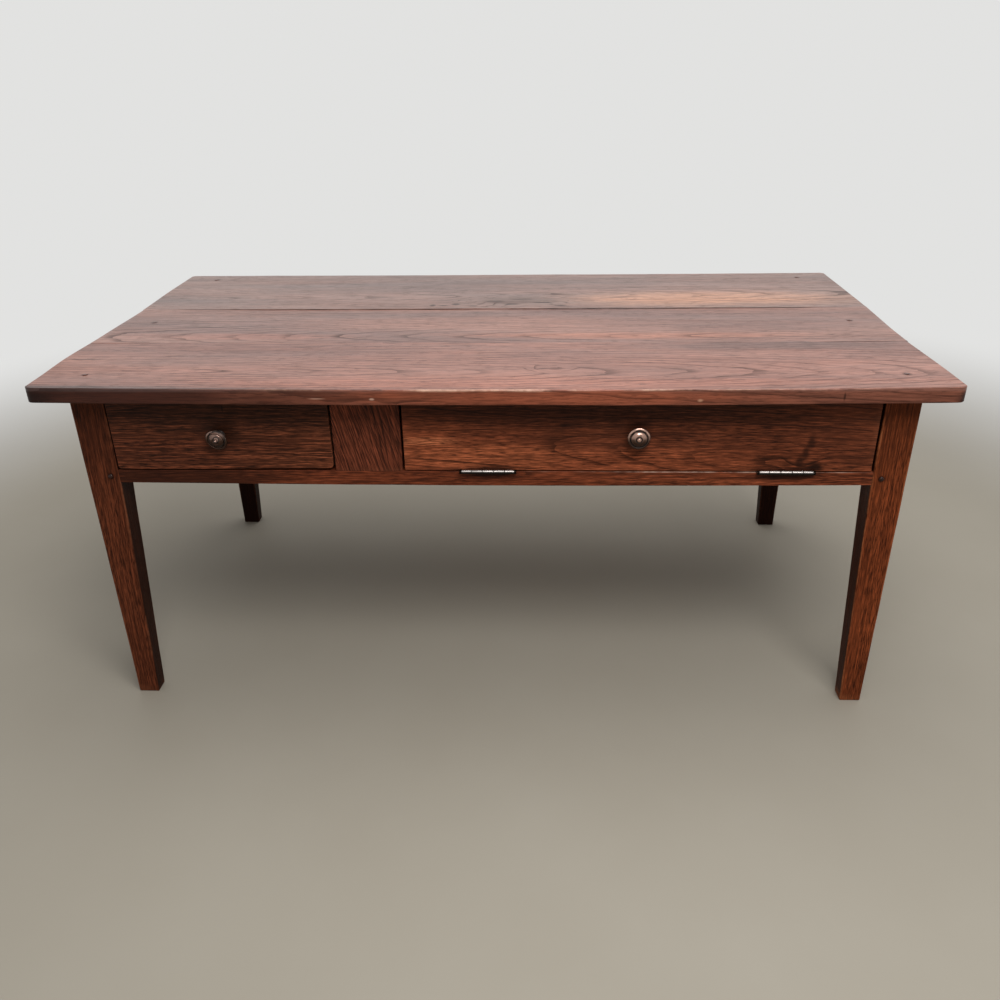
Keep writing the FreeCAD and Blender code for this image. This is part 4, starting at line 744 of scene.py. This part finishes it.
top_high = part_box("top_front_board")[1].z
points = [((side * x, y, top_high), (0, 0, 1)) for x, y in PEG_PLACES.values() for side in (-1, 1)]
TOP_PEG_COLOURS = ((104, 56, 42), (84, 44, 33), (44, 22, 16), (120, 70, 54))
top_peg_oak = oak_material("top_peg_oak", "zxy", (0.0, 0.0, 0.7), TOP_PEG_COLOURS, 32, ring_width=0.002,
                           wax_above=0.0)
mesh = grow("top_pegs", peg_tree, points, {
    "Radius": 0.005, "Length": 0.064, "Proud": 0.0004, "Seed": 9, "Unevenness": 0.0005,
    "Material": top_peg_oak})
add_piece("top_pegs_riven", mesh, "frame", None, ["top_pegs"])

# Drawer front
# The front of the drawer: one oak board, darker than the rest, with straight fine grain and a short drying
# crack. The sides are dovetailed into it from behind.

LEFT_GAP, RIGHT_GAP, PLANED_OFF = 0.0004, 0.0022, 0.004
low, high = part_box("drawer_front")
middle = (low + high) / 2


def drawer_front_sides(x):
    # the lower edge was planed off towards the right, where the front used to bind
    return (low.y, high.y), (low.z + PLANED_OFF * (x - low.x) / (high.x - low.x), high.z)


mesh = make_board("drawer_front", 0, low.x + LEFT_GAP, high.x - RIGHT_GAP, drawer_front_sides,
                  corners=(0.0, 0.0, 0.008, 0.003), seed=51)
drawer_oak = oak_material(
    "drawer_front", "xzy", (middle.x, low.y, middle.z),
    ((144, 80, 53), (112, 60, 40), (22, 11, 7), (128, 76, 54)), 51, pith=(0.16, 0.0, 0.14, 0.02),
    fineness=1.6, rings=0.6, streaks=0.65, dashes=0.72, flecks=0.62, tints=[
        # painted shade: the upper part of the front is darker, under the overhang of the top
        ((middle.x, low.y, high.z - 0.002), (0.60, 0.05, 0.118), (38, 23, 17), 0.78)], spots=[
        ((-0.510, low.y, 0.684), (0.0018, 0.02, 0.011), (14, 7, 5), 0.9),
        # a dark halo round the knob, partly grime and partly painted shade
        ((middle.x, low.y, 0.630), (0.05, 0.03, 0.05), (34, 19, 13), 0.5)])
add_piece("drawer_front_worn", mesh, "drawer", drawer_oak, ["drawer_front"])

# Knobs
# Two turned knobs of cast brass, gone dark brown: a foot, a waisted neck, a beaded rim, a groove and a
# shallow dome with a small nipple. The upper sides of the rim and the dome and the nipple carry a painted
# highlight, their undersides painted shade, and grime stays in the grooves.

# the outline of a knob, as its radius and its distance from the face, in millimetres
KNOB_OUTLINE = [
    (9.4, 0.0), (9.8, 0.5), (9.8, 1.5), (9.2, 2.4), (8.0, 2.9), (7.3, 3.7), (6.8, 5.0), (6.6, 7.0), (6.9, 8.8),
    (7.8, 10.6), (9.6, 12.2), (12.8, 13.8), (16.4, 15.2), (18.4, 16.2), (19.8, 16.9), (20.9, 18.1),
    (21.4, 19.6), (21.3, 21.0), (20.5, 22.2), (19.2, 23.0), (18.1, 23.4), (17.3, 23.2), (16.8, 22.3),
    (16.2, 21.5), (15.5, 21.5), (15.0, 22.4), (14.8, 23.5), (14.2, 24.3), (13.3, 24.6), (12.7, 24.5),
    (12.1, 24.8), (11.2, 25.6), (9.8, 26.5), (8.2, 27.2), (7.0, 27.6), (6.3, 27.5), (5.8, 27.0), (5.2, 26.8),
    (4.7, 27.3), (4.5, 28.3), (4.2, 29.3), (3.4, 30.2), (2.2, 30.8), (1.0, 31.0)]
# how much wider than that outline the knobs are
KNOB_WIDENED = 1.03


def make_knob(name, centre, droop, turn):
    """A knob turned about the axis that stands out from the front at a centre. Its screw lets it droop and
    turn."""
    work = bmesh.new()
    verts = [work.verts.new((KNOB_WIDENED * radius / 1000, 0.0, out / 1000)) for radius, out in KNOB_OUTLINE]
    edges = [work.edges.new(pair) for pair in zip(verts, verts[1:])]
    bmesh.ops.spin(work, geom=verts + edges, cent=(0, 0, 0), axis=(0, 0, 1), angle=2 * math.pi, steps=40,
                   use_duplicate=False)
    bmesh.ops.remove_doubles(work, verts=work.verts, dist=1e-6)
    bmesh.ops.holes_fill(work, edges=[edge for edge in work.edges if edge.is_boundary])
    bmesh.ops.recalc_face_normals(work, faces=work.faces)
    for face in work.faces:
        face.smooth = len(face.verts) == 4
    # the axis is turned to face the front
    lean = Matrix.Rotation(math.pi / 2 + droop, 4, "X") @ Matrix.Rotation(turn, 4, "Y")
    work.transform(Matrix.Translation(centre) @ lean)
    mesh = bpy.data.meshes.new(name)
    work.to_mesh(mesh)
    work.free()
    return mesh


def bronze_material(name, centre, highlight_colour):
    """Darkened brass on a knob whose foot has its middle at the centre."""
    material, shader, here = new_material(name)
    across, back, up = split(vector_maths("SUBTRACT", here, centre))
    radius = maths("SQRT", across * across + up * up)
    # grime in the groove at 16 mm and round the nipple, and grime with painted shade on all that lies behind
    # the rim
    groove = eased(maths("ABSOLUTE", radius - 0.0160), 0.0007, 0.0020, 1.0, 0.0)
    ring = eased(maths("ABSOLUTE", radius - 0.0055), 0.0005, 0.0013, 1.0, 0.0)
    behind = eased(back * -1.0, 0.010, 0.0165, 1.0, 0.0)
    stain = cloud(here, (160.0, 160.0, 160.0), 4.0)
    grime_and_shade = maths("MAXIMUM", maths("MAXIMUM", groove, ring), behind) * eased(stain, 0.2, 0.6, 0.55, 1.0)
    # painted light: the upper sides and the nipple are painted bright as a highlight, and the undersides dark
    # as shade
    height = (stain - 0.5) * 0.008 + up
    brightened = maths("MAXIMUM", eased(height, -0.008, 0.013), eased(radius, 0.004, 0.005, 1.0, 0.0))
    colour = laid_over(brightened, tone(74, 55, 47), tone(*highlight_colour))
    colour = laid_over(eased(stain, 0.42, 0.72, 0.0, 0.6), colour, tone(64, 48, 42))
    laid_over(grime_and_shade, colour, tone(26, 18, 14)).to(shader.inputs["Base Color"])
    fine = cloud(here, (420.0, 420.0, 420.0), 3.0)
    (grime_and_shade * 0.3 + eased(fine, 0.3, 0.7, 0.21, 0.32)).to(shader.inputs["Roughness"])
    (grime_and_shade * -0.6 + 1.0).to(shader.inputs["Metallic"])
    bumped(shader, fine, 0.25, 0.0003)
    return material


def add_knob(node, body, droop, turn, highlight_colour):
    low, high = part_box(node)
    centre = Vector(((low.x + high.x) / 2, high.y, (low.z + high.z) / 2))
    knob = add_piece(node + "_turned", make_knob(node, centre, droop, turn), body,
                     bronze_material(node, centre, highlight_colour), [node])
    rounding = knob.modifiers.new("rounding", "SUBSURF")
    rounding.levels = rounding.render_levels = 1


# the drawer's knob has a darker highlight colour than the flap's, as painted shade
add_knob("drawer_knob", "drawer", 0.2, -0.12, (156, 127, 116))

# Flap
# One long oak board, hinged at its lower edge. It was sawn through the middle of the tree, so its rings make
# long nested arches; the lower left is rubbed to a lighter orange and there is a knot near the right end.

END_GAP, TRIMMED_END, OUT_OF_SQUARE = 0.0020, 0.012, 0.0012
low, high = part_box("flap_board")
mesh = make_board("flap_board", 0, low.x + END_GAP, high.x - END_GAP, straight_sides(low, high, 0),
                  ease=0.0015, seed=61)
# the right end was trimmed out of square, so its gap is wider at the top
for vert in mesh.vertices:
    if vert.co.x > high.x - TRIMMED_END:
        vert.co.x -= OUT_OF_SQUARE * (vert.co.z - low.z) / (high.z - low.z)
flap_oak = oak_material(
    "flap_board", "xzy", (0.285, low.y, 0.60),
    ((168, 90, 58), (126, 64, 40), (26, 12, 7), (150, 92, 64)), 61, pith=(-0.004, -0.09, 0.057, -0.075),
    tilt_from=-0.2, wander=0.01, ring_width=0.0102, line_width=0.32, fineness=1.5, rings=1.0, streaks=0.5,
    flecks=0.5, tints=[
        # painted shade: the upper part of the board is darker, under the overhang of the top
        ((0.285, low.y, high.z - 0.002), (0.85, 0.05, 0.110), (44, 26, 20), 0.82),
        ((0.30, low.y, 0.617), (0.50, 0.05, 0.032), (84, 45, 31), 0.45),
        ((0.62, low.y, 0.60), (0.26, 0.05, 0.09), (92, 47, 30), 0.5),
        ((0.0, low.y, 0.585), (0.24, 0.05, 0.04), (184, 102, 66), 0.6),
        ((-0.125, low.y, 0.617), (0.085, 0.05, 0.012), (196, 114, 76), 0.9)], spots=[
        # a dark halo round the knob, partly grime and partly painted shade
        ((0.285, low.y, 0.626), (0.042, 0.05, 0.048), (40, 21, 14), 0.6),
        ((0.614, low.y, 0.614), (0.011, 0.05, 0.018), (34, 17, 11), 0.75),
        ((0.606, low.y, 0.595), (0.010, 0.05, 0.020), (34, 17, 11), 0.75),
        ((0.597, low.y, 0.575), (0.011, 0.05, 0.018), (34, 17, 11), 0.75),
        ((0.629, low.y, 0.566), (0.022, 0.05, 0.012), (22, 11, 7), 0.9),
        ((0.70, low.y, 0.63), (0.09, 0.05, 0.12), (70, 36, 24), 0.35),
        # dark patches above the hinge barrels, partly grime and partly painted shade
        ((-0.0025, low.y, 0.556), (0.085, 0.05, 0.015), (24, 12, 8), 0.8),
        ((0.5775, low.y, 0.556), (0.085, 0.05, 0.013), (24, 12, 8), 0.8)],
    knots=[((0.605, low.y, 0.590), (0.05, 0.06, 0.04), 0.006)])
add_piece("flap_board_worn", mesh, "flap", flap_oak, ["flap_board"])
add_knob("flap_knob", "flap", -0.03, 0.0, (190, 154, 138))

# Hinges
# Two butt hinges of bright steel, their barrels in front of the flap's lower edge. The lower leaf is let into
# the top of the rail, the upper leaf into the edge of the flap, and a loose pin joins them.

BARREL_LENGTH, KNUCKLES, SHADED_BELOW = 0.108, 5, 0.5556


def steel_material(name, bright, spotted, barrel_middle=None):
    """Steel with rust spots. A hinge whose barrel has its middle at a given X has painted shade on the
    barrel's underside, and grime on its ends and between its knuckles."""
    material, shader, here = new_material(name)
    film = eased(cloud(here, (40.0, 60.0, 60.0), 1.0), 0.35, 0.7)
    rust = eased(cloud(here, (150.0, 150.0, 150.0)), 0.58, 0.70) * spotted
    colour = laid_over(film, tone(*bright), tone(*[part * 0.86 for part in bright]))
    colour = laid_over(rust, colour, tone(92, 66, 50))
    if barrel_middle is not None:
        across, back, up = split(here)
        # painted shade: the barrel is darker below its top, on the side that the light from above does not
        # reach
        underside_shade = eased((film - 0.5) * 0.0004 + up, SHADED_BELOW - 0.0012, SHADED_BELOW + 0.0008, 0.95, 0.0)
        along = across - barrel_middle
        turns = along * (KNUCKLES / BARREL_LENGTH) + 0.5 * (KNUCKLES % 2)
        to_joint = maths("ABSOLUTE", turns - maths("ROUND", turns))
        grime_and_shade = maths("MAXIMUM", underside_shade, eased(to_joint, 0.02, 0.06, 0.9, 0.0))
        to_end = maths("ABSOLUTE", along) * -1.0 + BARREL_LENGTH / 2
        grime_and_shade = maths("MAXIMUM", grime_and_shade, eased(to_end, 0.002, 0.005, 1.0, 0.0))
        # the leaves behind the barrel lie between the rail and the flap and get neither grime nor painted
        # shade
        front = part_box("flap_board")[0].y
        grime_and_shade = grime_and_shade * eased(back, front, front + 0.001, 1.0, 0.0)
        colour = laid_over(grime_and_shade, colour, tone(20, 15, 12))
    colour.to(shader.inputs["Base Color"])
    (rust * 0.3 + eased(film, 0.0, 1.0, 0.27, 0.31)).to(shader.inputs["Roughness"])
    (rust * -0.5 + 1.0).to(shader.inputs["Metallic"])
    return material


def turned_copy(node, pin_axis):
    """A copy of a hinge solid's mesh, whose barrel is shaded as a true round about the pin's axis."""
    work = merged(node)
    for face in work.faces:
        face.smooth = True
    mesh = bpy.data.meshes.new(node)
    work.to_mesh(mesh)
    work.free()
    radius = pin_axis.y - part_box(node)[0].y
    normals = []
    for face in mesh.polygons:
        arms = [(mesh.vertices[corner].co - pin_axis) * Vector((0.0, 1.0, 1.0)) for corner in face.vertices]
        on_barrel = abs(face.normal.x) < 0.5 and all(abs(arm.length - radius) < 0.00005 for arm in arms)
        normals += [arm.normalized() if on_barrel else face.normal.copy() for arm in arms]
    mesh.normals_split_custom_set(normals)
    return mesh


for side in ("left", "right"):
    low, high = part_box(side + "_hinge_pin")
    pin_axis = (low + high) / 2
    hinge_steel = steel_material(side + "_hinge_steel", (166, 159, 154), 0.25, pin_axis.x)
    for part, body in (("lower_leaf", "frame"), ("upper_leaf", "flap"), ("pin", "frame")):
        node = f"{side}_hinge_{part}"
        add_piece(node + "_polished", turned_copy(node, pin_axis), body, hinge_steel, [node])

# Screws and nails
# Slotted steel screws hold the hinge leaves, cleats, stops and knobs, and flat-headed nails hold the drawer
# bottom. They were driven by hand, so their slots point every way, and they are dull and a little rusty.

screw_tree, given, found = new_geometry_tree("slotted_screws", {
    "Face radius": "Float", "Neck radius": "Float", "Head height": "Float", "Shank radius": "Float",
    "Shank length": "Float", "Slotted": "Bool"})
head = outcome(screw_tree, "GeometryNodeMeshCone", {
    "Vertices": 24, "Radius Top": given["Face radius"], "Radius Bottom": given["Neck radius"],
    "Depth": given["Head height"]})
under_head = given["Head height"] * -1.0
head = moved(head, Translation=joined(0.0, 0.0, under_head))
slot_size = joined(given["Face radius"] * 3.0, given["Face radius"] * 0.28, given["Head height"])
slot = outcome(screw_tree, "GeometryNodeMeshCube", {"Size": slot_size})
cut = outcome(screw_tree, "GeometryNodeMeshBoolean", {"Mesh 1": head, "Mesh 2": slot}, operation="DIFFERENCE",
              solver="EXACT")
head = outcome(screw_tree, "GeometryNodeSwitch", {"Switch": given["Slotted"], "False": head, "True": cut},
               input_type="GEOMETRY")
shank = outcome(screw_tree, "GeometryNodeMeshCone", {
    "Vertices": 14, "Radius Top": given["Shank radius"], "Radius Bottom": given["Shank radius"] * 0.4,
    "Depth": given["Shank length"]})
shank = moved(shank, Translation=joined(0.0, 0.0, under_head - given["Shank length"]))
finish_tree(given, (head, shank), found)

screw_steel = steel_material("screw_steel", (150, 146, 140), 0.9)
# the radius of a head at its face and at its neck, its height and the radius of its shank
LEAF_SCREW = (0.0034, 0.0017, 0.0017, 0.0017)
WOOD_SCREW = (0.0034, 0.0040, 0.0024, 0.0020)
KNOB_SCREW = (0.0042, 0.0048, 0.0026, 0.0024)
NAIL = (0.0026, 0.0028, 0.0010, 0.0012)
DRIVEN = {
    "lower_leaf_screws": ("frame", LEAF_SCREW, (0, 0, 1)),
    "upper_leaf_screws": ("flap", LEAF_SCREW, (0, 0, -1)),
    "cleat_screws": ("frame", WOOD_SCREW, None),
    "flap_stop_screws": ("frame", WOOD_SCREW, (0, 0, -1)),
    "drawer_knob_screw": ("drawer", KNOB_SCREW, (0, 1, 0)),
    "flap_knob_screw": ("flap", KNOB_SCREW, (0, 1, 0)),
    "drawer_bottom_nails": ("drawer", NAIL, (0, 0, -1)),
}
for seed, (node, (body, kind, facing)) in enumerate(DRIVEN.items(), 1):
    face, neck, tall, shank = kind
    solids = loose_solids(node)
    points = []
    for solid in solids:
        # the cleats are screwed from the middle of the table outwards
        way = facing or ((0, 1, 0) if solid[0].y < 0 else (0, -1, 0))
        points.append((face_middle(solid, way), way))
    length = max(solids[-1][1] - solids[-1][0]) - tall
    mesh = grow(node, screw_tree, points, {
        "Face radius": face, "Neck radius": neck, "Head height": tall, "Shank radius": shank,
        "Shank length": length, "Slotted": kind is not NAIL, "Seed": seed, "Unevenness": 0.0001,
        "Material": screw_steel})
    add_piece(node + "_driven", mesh, body, None, [node])

# Floor, light and camera
# A plain pale floor that fades to white, soft light from above and in front, and the photograph's camera.

BACKDROP = (0.76, 0.76, 0.75, 1.0)
FLOOR_HALF = 12
floor_mesh = bpy.data.meshes.new("floor")
corners = [(x * FLOOR_HALF, y * FLOOR_HALF, 0) for x, y in ((-1, -1), (1, -1), (1, 1), (-1, 1))]
floor_mesh.from_pydata(corners, [], [(0, 1, 2, 3)])
floor = bpy.data.objects.new("floor", floor_mesh)
bpy.context.collection.objects.link(floor)


def shown_rays(tree):
    """One for the rays that show the background: straight to the camera, mirrored or through glass."""
    path = add_node(tree, "ShaderNodeLightPath").outputs
    camera, glossy, through = (Term(path[f"Is {kind} Ray"]) for kind in ("Camera", "Glossy", "Transmission"))
    return maths("MAXIMUM", maths("MAXIMUM", camera, glossy), through)


floor_material, shader, here = new_material("floor")
tree = here.tree
mottle = cloud(here, (2.5, 2.5, 2.5), 4.0)
laid_over(mottle, tone(164, 156, 141), tone(174, 167, 153)).to(shader.inputs["Base Color"])
shader.inputs["Roughness"].default_value = 0.7
fade = shown_rays(tree) * eased(vector_maths("LENGTH", here), 1.5, 3.2)
white = outcome(tree, "ShaderNodeEmission", {"Color": BACKDROP, "Strength": 1.0})
blend = outcome(tree, "ShaderNodeMixShader", {0: fade, 1: Term(shader.outputs[0]), 2: white})
blend.to(tree.nodes["Material Output"].inputs["Surface"])
floor_mesh.materials.append(floor_material)

world = bpy.data.worlds.new("studio")
bpy.context.scene.world = world
world.use_nodes = True
sky = world.node_tree.nodes["Background"]
laid_over(shown_rays(world.node_tree), (0.24, 0.24, 0.24, 1.0), BACKDROP).to(sky.inputs["Color"])
sky.inputs["Strength"].default_value = 1.0


def add_lamp(name, place, target, width, height, power):
    lamp = bpy.data.lights.new(name, "AREA")
    lamp.shape, lamp.size, lamp.size_y, lamp.energy = "RECTANGLE", width, height, power
    holder = bpy.data.objects.new(name, lamp)
    holder.location = place
    holder.rotation_euler = (Vector(target) - Vector(place)).to_track_quat("-Z", "Y").to_euler()
    holder.visible_camera = False
    bpy.context.collection.objects.link(holder)


add_lamp("overhead", (0.2, 0.2, 2.9), (0.0, 0.0, 0.7), 3.0, 2.2, 45.0)
add_lamp("front", (0.6, -1.9, 2.7), (0.1, -0.42, 0.6), 1.6, 1.0, 44.0)
add_lamp("rear", (0.0, 2.5, 1.75), (0.0, 0.0, 0.7), 5.0, 2.2, 6.0)

camera = bpy.data.objects.new("camera", bpy.data.cameras.new("camera"))
camera.data.lens, camera.data.sensor_width = 32.0438, 36.0
# the place and the turn that were fitted to the corners and feet of the table
camera.matrix_world = Matrix((
    (0.999178, -0.00468, 0.040258, 0.09138),
    (0.038043, 0.450817, -0.891805, -1.99804),
    (-0.013975, 0.892604, 0.450625, 1.28763),
    (0.0, 0.0, 0.0, 1.0)))
bpy.context.collection.objects.link(camera)
bpy.context.scene.camera = camera
bpy.context.scene.view_settings.view_transform = "Standard"
